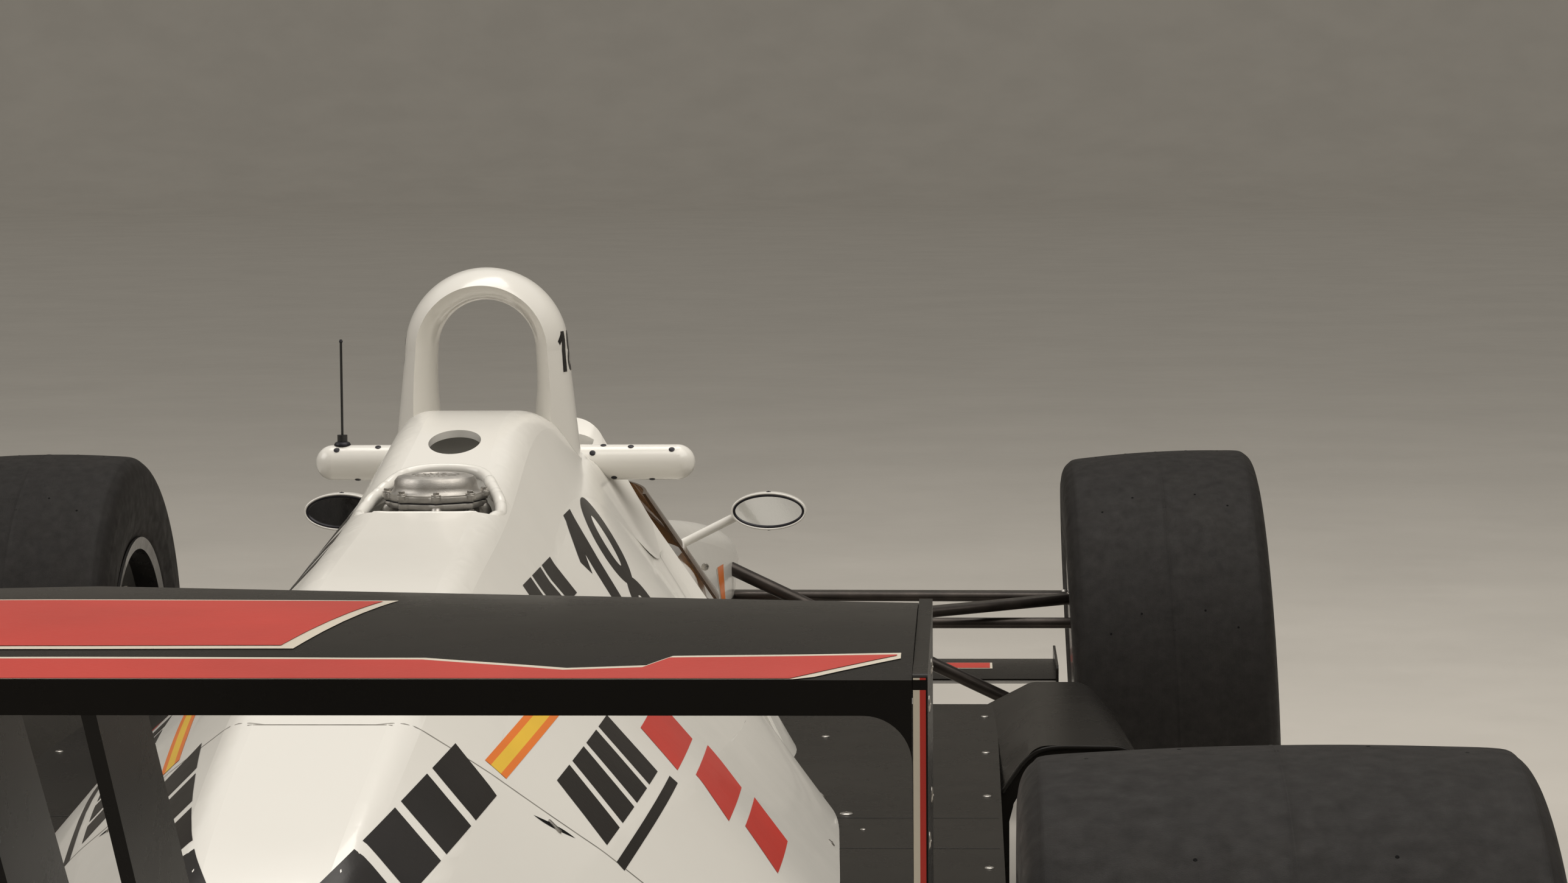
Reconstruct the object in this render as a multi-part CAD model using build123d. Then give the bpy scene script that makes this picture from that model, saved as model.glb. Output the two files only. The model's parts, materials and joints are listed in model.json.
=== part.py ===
from build123d import *
import math
import os

os.makedirs("parts", exist_ok=True)

# An open wheel single seater of the early turbo oval type.
# The nose points along -Y, +X is the driver's left, +Z is up, and the floor is at Z 0.
# The tables give places along the car from the rear axle, forwards negative.

# Length and axles
wheelbase = 2845.0
front_overhang = 1070.0
rear_overhang = 1000.0
rear_axle_y = (front_overhang + wheelbase - rear_overhang) / 2

# Clearances
seat_gap = 0.3
spin_gap = 5.0

# Wheels and tyres, each wheel leaning to the left by its own angle in degrees
front_left_lean = 0.5
front_right_lean = 3.0
rear_left_lean = 1.0
rear_right_lean = 1.0
front_tyre_radius = 329.0
front_tyre_width = 292.0
front_outer_half = 998.0
rear_tyre_radius = 341.0
rear_tyre_width = 407.0
rear_outer_half = 1000.0
front_crown = 1500.0
rear_crown = 3000.0
shoulder_width = 24.0
bead_radius = 190.5
rim_wall = 7.0
rim_flange = 11.0
spoke_count = 8
front_disc_radius = 130.0
rear_disc_radius = 130.0
disc_thickness = 28.0
disc_inset = 92.0
bell_radius = 50.0
bell_web = 13.0

# Steering and suspension
kingpin_inset = 112.0
steering_arm_length = 95.0
steering_arm_rise = 84.0
rack_radius = 14.0
rack_half = 205.0
running_fit = 0.05
joint_gap = 0.5
joint_rise = 112.0
joint_height = 20.0
eye_height = 14.0
eye_clearance = 1.5
arm_chord = 34.0
arm_thickness = 15.0
push_radius = 10.0
push_top_half = 100.0
push_top_z = 529.0
rod_radius = 8.0
upright_half = 42.0
hub_radius = 34.0
shaft_radius = 16.0

# Body
ground_clearance = 42.0
skin = 6.0
tub_wall = 25.0
deck_height = 395.0
cockpit_front = -2165.0
cockpit_rear = -1665.0
cockpit_half = 188.0
cockpit_corner = 120.0
dash_set = 8.0
dash_thickness = 12.0
hoop_place = -1430.0
hoop_width = 196.0
hoop_height = 189.0
hoop_tube = 34.0
hoop_chord = 112.0
hoop_flare = 28.0
hoop_root = 36.0
pod_place = -1584.0
pod_height = 763.0
pod_half = 227.0
pod_radius = 21.0
vent_place = -1125.0
vent_half_width = 28.0
vent_half_length = 42.0
mirror_place = -2131.0
mirror_height = 646.0
mirror_half = 336.0
mirror_width = 100.0
mirror_depth = 50.0
valve_place = -970.0
valve_radius = 48.5
valve_top = 808.0
sidepod_front = -2098.0
sidepod_rear = -640.0
sidepod_inner_half = 588.0
sidepod_outer_half = 762.0
duct_front = -2105.0
duct_rear = -1455.0
duct_wall = 8.0
floor_thickness = 10.0
case_tail = 400.0
output_half = 120.0
exhaust_offset = 82.0
exhaust_radius = 30.0

# Wings
rear_wing_half = 528.0
rear_wing_chord = 393.0
rear_wing_tip_chord = 309.0
rear_wing_height = 888.0
rear_wing_thickness = 34.0
lip_height = 19.0
lip_thickness = 5.0
lip_corner = 26.0
rear_plate_thickness = 8.0
rear_plate_height = 260.0
pylon_spacing = 70.0
pylon_thickness = 9.0
front_wing_half = 700.0
front_wing_chord = 225.0
front_wing_height = 240.0
front_wing_place = -3580.0
front_wing_thickness = 26.0

# Mount sizes
tow_height = 318.0
tow_bore_radius = 12.5
tow_eye_width = 14.0
starter_height = 236.0
starter_bore_radius = 15.0
starter_bore_depth = 45.0
filler_bore_radius = 38.0
filler_depth = 40.0
filler_place = -1330.0
filler_flank_low = (397.0, 365.0)
filler_flank_top = (278.0, 545.0)
filler_rise = 0.6


def along(place):
    # place behind the rear axle to Y in the car's frame
    return rear_axle_y + place


def both(solid):
    return [solid, mirror(solid, about=Plane.YZ)]


def ring(place, corners, rounds):
    # one cross-section from its left half: corners as (half width, height) from the lowest up
    y = along(place)
    points = [(x, y, z) for x, z in corners] + [(-x, y, z) for x, z in reversed(corners)]
    radii = list(rounds) + list(reversed(rounds))
    return make_face(FilletPolyline(*points, radius=radii, close=True))


def hull_of(rows, rounds, inset=0.0, floor_inset=None, scales=None):
    # each row: place, then half width and height of each corner from the lowest up
    drop = inset if floor_inset is None else floor_inset
    scales = scales or [1.0] * len(rows)
    faces = []
    for (place, *sizes), scale in zip(rows, scales):
        corners = [(half - inset, z) for half, z in zip(sizes[::2], sizes[1::2])]
        corners[0] = (corners[0][0], corners[0][1] + drop)
        corners[-1] = (corners[-1][0] + inset * 0.2, corners[-1][1] - inset)
        faces.append(ring(place, corners, [r * scale for r in rounds]))
    return loft(faces)


def box_between(low, high):
    # a box between two corners
    size = [b - a for a, b in zip(low, high)]
    middle = [(a + b) / 2 for a, b in zip(low, high)]
    return Pos(*middle) * Box(*size)


def strut(start, end, chord, thickness):
    # a faired tube of oval section, its chord lying fore and aft
    a = Vector(*start)
    b = Vector(*end)
    way = (b - a).normalized()
    fore = Vector(0, 1, 0)
    across = (fore - way * fore.dot(way)).normalized()
    plane = Plane(origin=a, x_dir=across, z_dir=way)
    return extrude(plane * SlotOverall(chord, thickness), (b - a).length)


def rod(start, end, radius):
    a = Vector(*start)
    b = Vector(*end)
    plane = Plane(origin=a, z_dir=(b - a).normalized())
    return extrude(plane * Circle(radius), (b - a).length)


def wing_section(chord, thickness):
    # a downforce section in the YZ plane, leading edge at the origin, trailing edge towards +Y
    lead = (0, 0)
    tail_top = (chord, -1.0)
    tail_low = (chord, -4.0)
    upper = ThreePointArc(lead, (chord * 0.42, thickness * 0.22), tail_top)
    back = Line(tail_top, tail_low)
    lower = ThreePointArc(tail_low, (chord * 0.40, -thickness * 0.78), lead)
    face = make_face([upper, back, lower])
    return Plane.YZ * face


# Wheels, made about their own centre with the outer side towards +X

def tyre_outline(radius, width, crown):
    # half of the section as (across, from the axle): a flat crown, a round shoulder, the side wall and the bead
    half = width / 2
    tread = half - shoulder_width
    edge = radius - tread ** 2 / (2 * crown)
    bead = bead_radius + seat_gap
    return [
        (0, radius), (tread, edge), (half - 8, edge - 11), (half - 1, edge - 32),
        (half, (bead + edge) / 2), (half - 14, bead),
    ]


def wheel_height(radius, width, crown, lean):
    # height of the wheel centre when the lowest point of the leaning tread meets the floor
    turn = math.radians(lean)
    return max(r * math.cos(turn) + x * math.sin(turn) for x, r in tyre_outline(radius, width, crown))


def tyre(radius, width, crown):
    half = tyre_outline(radius, width, crown)
    points = half + [(-x, r) for x, r in reversed(half[1:])]
    return revolve(Plane.XY * make_face(Polyline(*points, close=True)), Axis.X)


def rim(width, spoke_inset):
    # barrel with two flanges and a drop centre, a spoked disc near the outer side and a centre nut
    half = width / 2 - 14
    seat = bead_radius
    inner = seat - rim_wall
    drop = 22.0
    lip = seat + rim_flange
    lip_width = 5.0
    profile = [
        (-half, seat), (-half - lip_width, lip), (-half - lip_width - 4, lip), (-half - 6, inner),
        (-half + 30, inner), (-half + 45, inner - drop), (half - 60, inner - drop),
        (half - 45, inner), (half + 6, inner), (half + lip_width + 4, lip), (half + lip_width, lip),
        (half, seat), (half - 42, seat), (half - 57, seat - drop), (-half + 42, seat - drop), (-half + 27, seat),
    ]
    barrel = revolve(make_face(Polyline(*profile, close=True)), Axis.X)
    face_x = half - spoke_inset
    hub = 58.0
    plate = Plane(origin=(face_x, 0, 0), z_dir=(1, 0, 0)) * Circle(inner - drop + 2)
    disc = extrude(plate, 16)
    inner_edge = hub + 16
    outer_edge = inner - drop - 14
    window = PolarLocations(0, spoke_count)
    reach = outer_edge - inner_edge
    web_half = 11.0
    slot = FilletPolyline(
        (inner_edge, inner_edge * math.tan(math.pi / spoke_count) - web_half),
        (outer_edge, outer_edge * math.tan(math.pi / spoke_count) * 0.86 - web_half),
        (outer_edge, -outer_edge * math.tan(math.pi / spoke_count) * 0.86 + web_half),
        (inner_edge, -inner_edge * math.tan(math.pi / spoke_count) + web_half),
        radius=min(8.0, reach / 4),
        close=True,
    )
    hole = extrude(make_face(slot), 60, both=True)
    turned = Pos(face_x, 0, 0) * Rot(0, 90, 0)
    for place in window:
        disc -= turned * place * hole
    centre = Plane(origin=(face_x - 10, 0, 0), z_dir=(1, 0, 0)) * Circle(hub)
    boss = extrude(centre, 30)
    nut = extrude(Plane(origin=(face_x + 20, 0, 0), z_dir=(1, 0, 0)) * RegularPolygon(34, 6), 22)
    return barrel + disc + boss + nut


def brake_disc(radius, face_x):
    # disc and bell; the bell's outer end meets the back of the rim's centre
    low = Plane(origin=(face_x - disc_inset, 0, 0), z_dir=(1, 0, 0))
    under = low.offset(-1)
    slab = extrude(low * Circle(radius), disc_thickness)
    eye = extrude(under * Circle(bell_radius), disc_thickness + 2)
    bell = extrude(low * Circle(bell_radius), disc_inset - 10 - seat_gap)
    hollow = extrude(under * Circle(hub_radius + spin_gap), disc_inset - 9 - bell_web)
    pin_hole = extrude(under * Circle(shaft_radius + running_fit), disc_inset)
    return (slab - eye) + (bell - hollow - pin_hole)


def placed(solid, side, outer_half, width, place, radius, crown, lean):
    # side +1 is the car's left; the wheel leans to the left on both sides
    centre_x = side * (outer_half - width / 2)
    spot = Pos(centre_x, along(place), wheel_height(radius, width, crown, lean)) * Rot(0, lean, 0)
    if side < 0:
        solid = mirror(solid, about=Plane.YZ)
    return spot * solid


# Main body

tub_rows = [
    # place, low half, low z, mid half, mid z, top half, top z
    (-3095, 150, 150, 166, 312, 108, 482),
    (-2620, 196, 80, 212, 352, 146, 582),
    (-2165, 236, 60, 246, 385, 160, 612),
    (-1900, 246, 58, 254, 395, 205, 622),
    (-1640, 246, 58, 254, 395, 190, 625),
    (-1230, 240, 58, 246, 395, 170, 540),
]
nose_rows = [
    (-3915, 36, 180, 44, 204, 26, 226),
    (-3840, 74, 164, 84, 208, 48, 258),
    (-3480, 122, 152, 138, 252, 86, 368),
    (-3095 - seat_gap, 150, 150, 166, 312, 108, 482),
]
cover_rows = [
    # place, low half, low z, knee half, knee z, shoulder half, shoulder z, top half, top z
    (-1640, 352, 365, 258, 560, 168, 690, 98, 812),
    (-1430, 388, 365, 265, 552, 156, 702, 86, 817),
    (-1090, 438, 365, 306, 520, 118, 735, 66, 820),
    (-880, 446, 365, 300, 530, 124, 705, 70, 778),
    (-620, 436, 365, 286, 540, 132, 680, 72, 748),
    (-350, 337, 424, 236, 540, 140, 632, 74, 696),
    (-120, 258, 456, 196, 520, 134, 588, 70, 640),
    (40, 202, 450, 164, 498, 118, 552, 64, 592),
    (188, 143, 443, 127, 470, 98, 506, 57, 535),
]
flare_rows = [
    # place, deck half, knee half, knee z, top z of the fairing from the tub's side to the cover
    (-1950, 250, 249, 385, 400),
    (-1823, 336, 262, 490, 560),
    (-1632, 350, 256, 555, 610),
]
duct_rows = [
    # place, outer half, side top z, outer crest half, inner crest half, crest z, base half
    (duct_front, 748, 372, 706, 634, 421, 572),
    (duct_rear, 762, 408, 738, 628, 444, 590),
]
duct_rounds = [1, 10, 34, 34, 28, 20, 1]
mouth_outline = [(82, 88), (84, 20), (40, -94)]
mouth_rounds = (26, 80, 38)
mouth_place = -962.0
mouth_height = 796.0
mouth_slope = 11.0
rim_depth = 24.0
tub_rounds = (24, 40, 42)
nose_scales = (0.22, 0.5, 0.85, 1.0)
cover_rounds = (2, 90, 70, 40)


def tub_outer():
    return hull_of(tub_rows, tub_rounds)


def cover_outer():
    return hull_of(cover_rows, cover_rounds)


def cover_inner():
    front_wall = 16.0
    first = (cover_rows[0][0] + front_wall,) + cover_rows[0][1:]
    last = (cover_rows[-1][0] + 10,) + cover_rows[-1][1:]
    rows = [first] + cover_rows[1:-1] + [last]
    return hull_of(rows, cover_rounds, inset=skin * 1.3, floor_inset=-20)


def cover_flare():
    # the fairing that runs forward from the cover along the left side of the tub
    root = 205.0
    low = deck_height - 30
    faces = []
    for place, deck_half, knee_half, knee_z, top_z in flare_rows:
        points = [(root, low), (deck_half, low), (knee_half, knee_z), (root, top_z)]
        faces.append(make_face(Polyline(*[(x, along(place), z) for x, z in points], close=True)))
    return loft(faces)


def mouth_face(rise, scale, grow=0.0):
    # the outline of the opening round the boost valve, on a plane that slopes with the cover
    lean = math.radians(mouth_slope)
    plane = Plane(origin=(0, along(mouth_place), mouth_height), x_dir=(1, 0, 0), z_dir=(0, math.sin(lean), math.cos(lean)))
    half = [(x * scale + math.copysign(grow, x), y * scale + math.copysign(grow, y)) for x, y in mouth_outline]
    points = half + [(-x, y) for x, y in reversed(half)]
    radii = [r * scale for r in mouth_rounds]
    return plane.offset(rise) * make_face(FilletPolyline(*points, radius=radii + radii[::-1], close=True))


def cavity_of(inset):
    # the room inside the tub
    foot = (tub_rows[0][0] + 160, 150, 175, 165, 312, 108, 480)
    last = (tub_rows[4][0] + 20,) + tub_rows[4][1:]
    return hull_of([foot] + tub_rows[2:4] + [last], tub_rounds, inset=inset)


def mouth_of(gap):
    # the cockpit opening, as a column up through the deck
    y0 = along(cockpit_front) + gap
    y1 = along(cockpit_rear) - gap
    outline = RectangleRounded(2 * (cockpit_half - gap), y1 - y0, cockpit_corner - gap)
    return Pos(0, (y0 + y1) / 2, deck_height + 40) * extrude(outline, 400)


def monocoque(outer):
    cavity = cavity_of(tub_wall)
    return outer - cavity - mouth_of(0), cavity


def engine_cover(outer, tub):
    shell = outer - cover_inner()
    flare = cover_flare()
    shell = shell + flare + mirror(flare, about=Plane.YZ)
    # the opening round the boost valve, with a rim that slopes down into it
    high, low = (12.0, 1.03), (-rim_depth, 0.86)
    throat = loft([mouth_face(*high), mouth_face(*low)]) + extrude(mouth_face(*low), -80)
    collar = loft([mouth_face(*high, grow=skin), mouth_face(*low, grow=skin)]) & outer
    shell = shell + collar - throat
    shell -= Pos(0, along(vent_place), 760) * extrude(Ellipse(vent_half_width, vent_half_length), 100)
    # the fuel socket on the left flank, square to the slope of the side
    run = filler_flank_low[0] - filler_flank_top[0]
    rise = filler_flank_top[1] - filler_flank_low[1]
    slope = math.hypot(run, rise)
    out = (rise / slope, 0, run / slope)
    centre = (filler_flank_low[0] - run * filler_rise, along(filler_place), filler_flank_low[1] + rise * filler_rise)
    deep = Plane(origin=centre, z_dir=out).offset(-filler_depth - skin)
    cup = extrude(deep * Circle(filler_bore_radius + 10), filler_depth + skin + 4)
    bore = extrude(deep.offset(skin) * Circle(filler_bore_radius), filler_depth + 20)
    shell = shell + cup - bore - tub
    return shell - box_between((-600, along(-2200), 300), (600, along(sidepod_rear) + seat_gap, deck_height))


def roll_hoop(cover):
    # a streamlined tube bent over the driver's head, its legs flaring into the cover
    base_z = cover_rows[0][-1]
    half = hoop_width / 2 - hoop_tube / 2
    top = base_z + hoop_height - hoop_tube / 2
    spring = top - half + 6
    y = along(hoop_place)
    bend = ThreePointArc((-half + 6, y, spring), (0, y, top), (half - 6, y, spring))
    nose = (0, -hoop_chord * 0.42)
    tail = (0, hoop_chord * 0.58)
    side = hoop_tube / 2

    def section(scale):
        left = ThreePointArc(nose, (-side * scale, -hoop_chord * 0.06), tail)
        right = ThreePointArc(tail, (side * scale, -hoop_chord * 0.06), nose)
        return make_face([left, right])

    crown_plane = Plane(origin=(half - 6, y, spring), x_dir=(1, 0, 0), z_dir=(0, 0, 1))
    crown = sweep(crown_plane * section(1.0), path=bend)
    leg_low = base_z - hoop_root
    flare = 1.0 + hoop_flare / hoop_tube
    leg = loft([
        Plane(origin=(half - 6, y, spring), x_dir=(1, 0, 0), z_dir=(0, 0, 1)) * section(1.0),
        Plane(origin=(half - 3, y, base_z + 46), x_dir=(1, 0, 0), z_dir=(0, 0, 1)) * section(1.14),
        Plane(origin=(half - 6, y, leg_low), x_dir=(1, 0, 0), z_dir=(0, 0, 1)) * section(flare),
    ])
    legs = both(leg)
    return (crown + legs[0] + legs[1]) - cover


def nose_cone():
    return hull_of(nose_rows, tub_rounds, scales=nose_scales)


def windscreen(tub):
    low = Pos(0, along(-1790), 570) * Ellipse(240, 400)
    high = Pos(0, along(-1790), 704) * Ellipse(150, 262)
    glass = loft([low, high])
    low_in = Pos(0, along(-1790), 569.9) * Ellipse(240 - 4, 400 - 4)
    high_in = Pos(0, along(-1790), 704.1) * Ellipse(150 - 4, 262 - 4)
    glass -= loft([low_in, high_in])
    behind = box_between((-400, along(-1790), 400), (400, along(-1200), 900))
    return glass - behind - tub


def seat():
    back = [(-1690, 614), (cockpit_rear - seat_gap, 614), (-1800, 118), (-2100, 110), (-2120, 150), (-2096, 140), (-1822, 150)]
    points = [(0, along(place), z) for place, z in back]
    slab = extrude(make_face(Polyline(*points, close=True)), 168, both=True, dir=(1, 0, 0))
    cheek = [(-1668, 590), (-1800, 118), (-2100, 110), (-2060, 240), (-1860, 300), (-1740, 560)]
    side = make_face(Polyline(*[(150, along(place), z) for place, z in cheek], close=True))
    wall = extrude(side, 18, dir=(1, 0, 0))
    walls = both(wall)
    return (slab + walls[0] + walls[1]) & (cavity_of(tub_wall + seat_gap) + mouth_of(seat_gap))


def head_pad():
    y = along(cover_rows[0][0])
    pad = Pos(0, y - 20 - seat_gap, 715) * Box(150, 40, 130)
    return fillet(pad.edges().filter_by(Axis.Y), 30)


def steering_wheel():
    ring_radius = 132.0
    tube = 12.0
    wheel = Torus(ring_radius, tube)
    hub = Cylinder(34, 18)
    bars = [Rot(0, 0, angle) * (Pos(ring_radius / 2, 0, 0) * Box(ring_radius, 26, 6)) for angle in (0, 90, 180)]
    column = Pos(0, 0, -80) * Cylinder(14, 150)
    for bar in bars:
        hub += bar
    whole = wheel + hub + column
    dash_y = along(cockpit_front) + dash_set + dash_thickness
    turned = Pos(0, along(cockpit_front) + 135, 508) * Rot(-72, 0, 0) * whole
    return turned - box_between((-60, dash_y - 200, 300), (60, dash_y + seat_gap, 700))


def dash_panel(cavity):
    y = along(cockpit_front)
    slab = box_between((-400, y + dash_set, 330), (400, y + dash_set + dash_thickness, 700))
    return slab & cavity


def camera_pods(cover):
    body = extrude(Plane(origin=(90, along(pod_place), pod_height), z_dir=(1, 0, 0)) * Circle(pod_radius),
                   pod_half - 90 - pod_radius)
    cap = Pos(pod_half - pod_radius, along(pod_place), pod_height) * Sphere(pod_radius)
    pod = (body + cap) - cover
    return both(pod)


def antenna():
    x = pod_half - 32
    base = pod_height + pod_radius + seat_gap
    foot = Pos(x, along(pod_place), base + 6) * Cylinder(6, 12)
    whip = Pos(x, along(pod_place), base + 66) * Cylinder(1.5, 120)
    return foot + whip


def mirror_shapes(tub):
    x = mirror_half - mirror_width / 2
    y = along(mirror_place)
    faces = []
    for back, scale in ((0, 1.0), (-34, 0.92), (-62, 0.5)):
        plane = Plane(origin=(x, y + back, mirror_height), x_dir=(1, 0, 0), z_dir=(0, -1, 0))
        faces.append(plane * Ellipse(mirror_width / 2 * scale, mirror_depth / 2 * scale))
    shell = loft(faces)
    face_plane = Plane(origin=(x, y, mirror_height), x_dir=(1, 0, 0), z_dir=(0, -1, 0))
    pocket = extrude(face_plane * Ellipse(mirror_width / 2 - 3, mirror_depth / 2 - 3), 6)
    stalk = rod((x - mirror_width / 2 + 12, y - 20, mirror_height - 6), (120, y - 20, mirror_height - 70), 6)
    housing = (shell + (stalk - shell)) - pocket - tub
    glass = extrude(Plane(origin=(x, y - 6 + seat_gap, mirror_height), x_dir=(1, 0, 0), z_dir=(0, 1, 0))
                    * Ellipse(mirror_width / 2 - 3.3, mirror_depth / 2 - 3.3), 3)
    return housing, glass


# Sidepods, floor and drive line

def duct_section(row, inset, low):
    # one section of the raised outer duct, from its floor round by the outer side
    place, outer, side_z, outer_crest, inner_crest, crest_z, base = row
    foot = sidepod_inner_half - 30 + inset * 5
    points = [
        (foot, low), (outer - inset, low), (outer - inset, side_z - inset / 2),
        (outer_crest - inset / 2, crest_z - inset), (inner_crest + inset, crest_z - inset),
        (base + inset * 1.7, deck_height - 6 - inset * 1.7), (foot, deck_height - 40),
    ]
    wire = FilletPolyline(*[(x, along(place), z) for x, z in points], radius=duct_rounds, close=True)
    return make_face(wire)


def sidepod(tub):
    inner = 262.0
    bottom = ground_clearance + floor_thickness + seat_gap
    y0 = along(sidepod_front)
    y1 = along(sidepod_rear)
    body = box_between((240, y0, bottom), (sidepod_inner_half, y1, deck_height - seat_gap))
    body = fillet(body.edges().filter_by(Axis.X).group_by(Axis.Y)[0], 16)
    duct = loft([duct_section(row, 0, bottom) for row in duct_rows])
    solid = body + duct
    # the air way: mouth at the front, one way out at the back of the outer duct
    way = box_between((inner + 26, y0 - 200, bottom + 20), (sidepod_inner_half - 24, along(-1180), deck_height - 20))
    way = fillet(way.edges().filter_by(Axis.Y), 24)
    front, back = duct_rows
    longer = [(front[0] - 60,) + front[1:], (back[0] + 60,) + back[1:]]
    duct_hole = loft([duct_section(row, duct_wall, bottom + 12) for row in longer])
    window = box_between((sidepod_inner_half - 60, y0 - 200, bottom + 20),
                        (sidepod_inner_half + 60, along(duct_rear) - 80, deck_height - 60))
    return solid - way - duct_hole - window - tub


def radiator():
    bottom = ground_clearance + floor_thickness + seat_gap
    core = Box(40, 420, deck_height - bottom - 40 - 2 * seat_gap)
    x = (262.0 + sidepod_inner_half) / 2
    z = (bottom + 20 + deck_height - 20) / 2
    return Pos(x, along(-1560), z) * Rot(0, 0, 28) * core


def underfloor():
    tyre_front = -rear_tyre_radius - 90
    tunnel_front = sidepod_rear + 10
    half = sidepod_outer_half - 4
    tail_half = rear_outer_half - rear_tyre_width - 28
    outline = [
        (0, -2240), (250, -2240), (half, duct_front), (half, tyre_front), (tail_half, tyre_front),
        (tail_half, -300), (0, -300),
    ]
    points = [(x, along(place)) for x, place in outline]
    half_plate = extrude(make_face(Polyline(*points, close=True)), floor_thickness)
    plate = half_plate + mirror(half_plate, about=Plane.YZ)
    roof = [(tunnel_front, 0), (-300, 62), (120, 116), (440, 190)]
    top = [(160, along(place), rise + floor_thickness) for place, rise in roof]
    low = [(160, along(place), rise) for place, rise in reversed(roof)]
    sheet = extrude(make_face(Polyline(*(top + low), close=True)), tail_half - 160, dir=(1, 0, 0))
    slope = roof + [(440, 0)]
    fence = make_face(Polyline(*[(160, along(place), rise) for place, rise in slope], close=True))
    inner_fence = extrude(fence, 6, dir=(1, 0, 0))
    outer_fence = Pos(tail_half - 160 - 6, 0, 0) * inner_fence
    tunnel = sheet + inner_fence + outer_fence
    mouth = box_between((166, along(tunnel_front), -20), (tail_half - 6, along(-290), floor_thickness + 20))
    plate -= mouth + mirror(mouth, about=Plane.YZ)
    floor = plate + tunnel + mirror(tunnel, about=Plane.YZ)
    return Pos(0, 0, ground_clearance) * floor


def engine_block():
    bottom = ground_clearance + floor_thickness + seat_gap
    block = box_between((-215, along(-1228), bottom), (215, along(-640), 500))
    plenum = box_between((-58, along(-1120), 499), (58, along(-700), 690))
    return block + fillet(plenum.edges().filter_by(Axis.Y), 20)


def popoff_valve():
    # the boost relief valve: a base, two bolted flanges and a ribbed lid
    base = 690 + seat_gap
    outline = [
        (0, base), (38, base), (38, valve_top - 52), (valve_radius, valve_top - 48), (valve_radius, valve_top - 28),
        (42, valve_top - 24), (42, valve_top - 10), (34, valve_top - 3), (0, valve_top),
    ]
    face = make_face(Polyline(*[(r, 0, z) for r, z in outline], close=True))
    body = revolve(face, Axis.Z)
    lug = Pos(valve_radius - 2, 0, valve_top - 38) * Cylinder(7, 24)
    for place in PolarLocations(0, 6):
        body += place * lug
    return Pos(0, along(valve_place), 0) * body


def gearbox():
    rows = [
        (-640 + seat_gap, 190, 90, 190, 300, 120, 420),
        (-330, 120, 110, 120, 300, 80, 396),
        (60, 104, 130, 104, 290, 70, 384),
        (case_tail, 74, 150, 74, 280, 52, 356),
    ]
    case = hull_of(rows, (16, 20, 20))
    tail = along(case_tail)
    eye = Box(tow_eye_width, 60, 60) - Rot(0, 90, 0) * Cylinder(tow_bore_radius, 40)
    eye = Pos(0, tail + 26, tow_height) * eye
    middle = tail - starter_bore_depth / 2
    socket = Pos(0, middle, starter_height) * Rot(90, 0, 0) * Cylinder(starter_bore_radius, starter_bore_depth)
    boss = Pos(0, tail + 1, starter_height) * Rot(90, 0, 0) * Cylinder(starter_bore_radius + 9, 12)
    output = Plane(origin=(60, along(0), knuckle_height("rear")), z_dir=(1, 0, 0)) * Circle(46)
    flange = extrude(output, output_half - 60)
    return case + (eye - case) + boss - socket - Pos(0, 10, 0) * socket + flange + mirror(flange, about=Plane.YZ)


def exhaust_pipe():
    start = along(sidepod_rear) + seat_gap
    end = along(330)
    length = end - start
    plane = Plane(origin=(exhaust_offset, start, 450), z_dir=(0, 1, 0))
    pipe = extrude(plane * Circle(exhaust_radius), length)
    return pipe - extrude(plane.offset(length - 160) * Circle(exhaust_radius - 3), 200)


def rear_wing():
    # the leading edge runs back towards the tips; a lip hangs under the trailing edge and rounds into the end plates
    tip = rear_wing_half - rear_plate_thickness - seat_gap
    sections = []
    for x, chord in ((-tip, rear_wing_tip_chord), (0, rear_wing_chord), (tip, rear_wing_tip_chord)):
        lead = along(rear_overhang - 1 - chord)
        sections.append(Pos(x, lead, rear_wing_height) * wing_section(chord, rear_wing_thickness))
    plane = loft(sections, ruled=True)
    back = along(rear_overhang)
    high = rear_wing_height - 1
    low = high - lip_height
    lip = box_between((-tip, back - lip_thickness, low), (tip, back, high))
    web = box_between((tip - lip_corner, back - lip_thickness, low - lip_corner), (tip, back, low))
    web -= Pos(tip - lip_corner, back, low - lip_corner) * Rot(90, 0, 0) * Cylinder(lip_corner, 4 * lip_thickness)
    return plane + lip + web + mirror(web, about=Plane.YZ)


def rear_end_plates():
    lead = along(rear_overhang - rear_wing_tip_chord - 14)
    tail = along(rear_overhang)
    low = rear_wing_height - rear_plate_height
    high = rear_wing_height + 2
    outline = [(lead, high), (tail, high), (tail, low + 60), (tail - 60, low), (lead + 90, low), (lead, low + 90)]
    points = [(rear_wing_half, y, z) for y, z in outline]
    wire = FilletPolyline(*points, radius=[10, 4, 18, 18, 18, 18], close=True)
    plate = extrude(make_face(wire), rear_plate_thickness, dir=(-1, 0, 0))
    return both(plate)


def rear_pylons(case, wing):
    outline = [(235, 330), (395, 330), (860, rear_wing_height + 2), (740, rear_wing_height + 2)]
    points = [(pylon_spacing / 2, along(place), z) for place, z in outline]
    plate = extrude(make_face(Polyline(*points, close=True)), pylon_thickness, dir=(1, 0, 0))
    plate = plate - case - wing
    keep = sorted(plate.solids(), key=lambda solid: -solid.volume)
    return both(keep[0])


def front_wings(nose):
    lead = along(front_wing_place)
    plate_thickness = 4.0
    span = front_wing_half - plate_thickness
    plane = Pos(60, lead, front_wing_height) * extrude(wing_section(front_wing_chord, front_wing_thickness),
                                                       span - 60, dir=(1, 0, 0))
    outline = [(-12, 22), (front_wing_chord + 14, 22), (front_wing_chord + 14, -46), (40, -46), (-12, -20)]
    points = [(span, lead + y, front_wing_height + z) for y, z in outline]
    plate = extrude(make_face(FilletPolyline(*points, radius=8, close=True)), plate_thickness, dir=(1, 0, 0))
    wing = (plane + plate) - nose
    keep = sorted(wing.solids(), key=lambda solid: -solid.volume)
    return both(keep[0])


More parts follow.
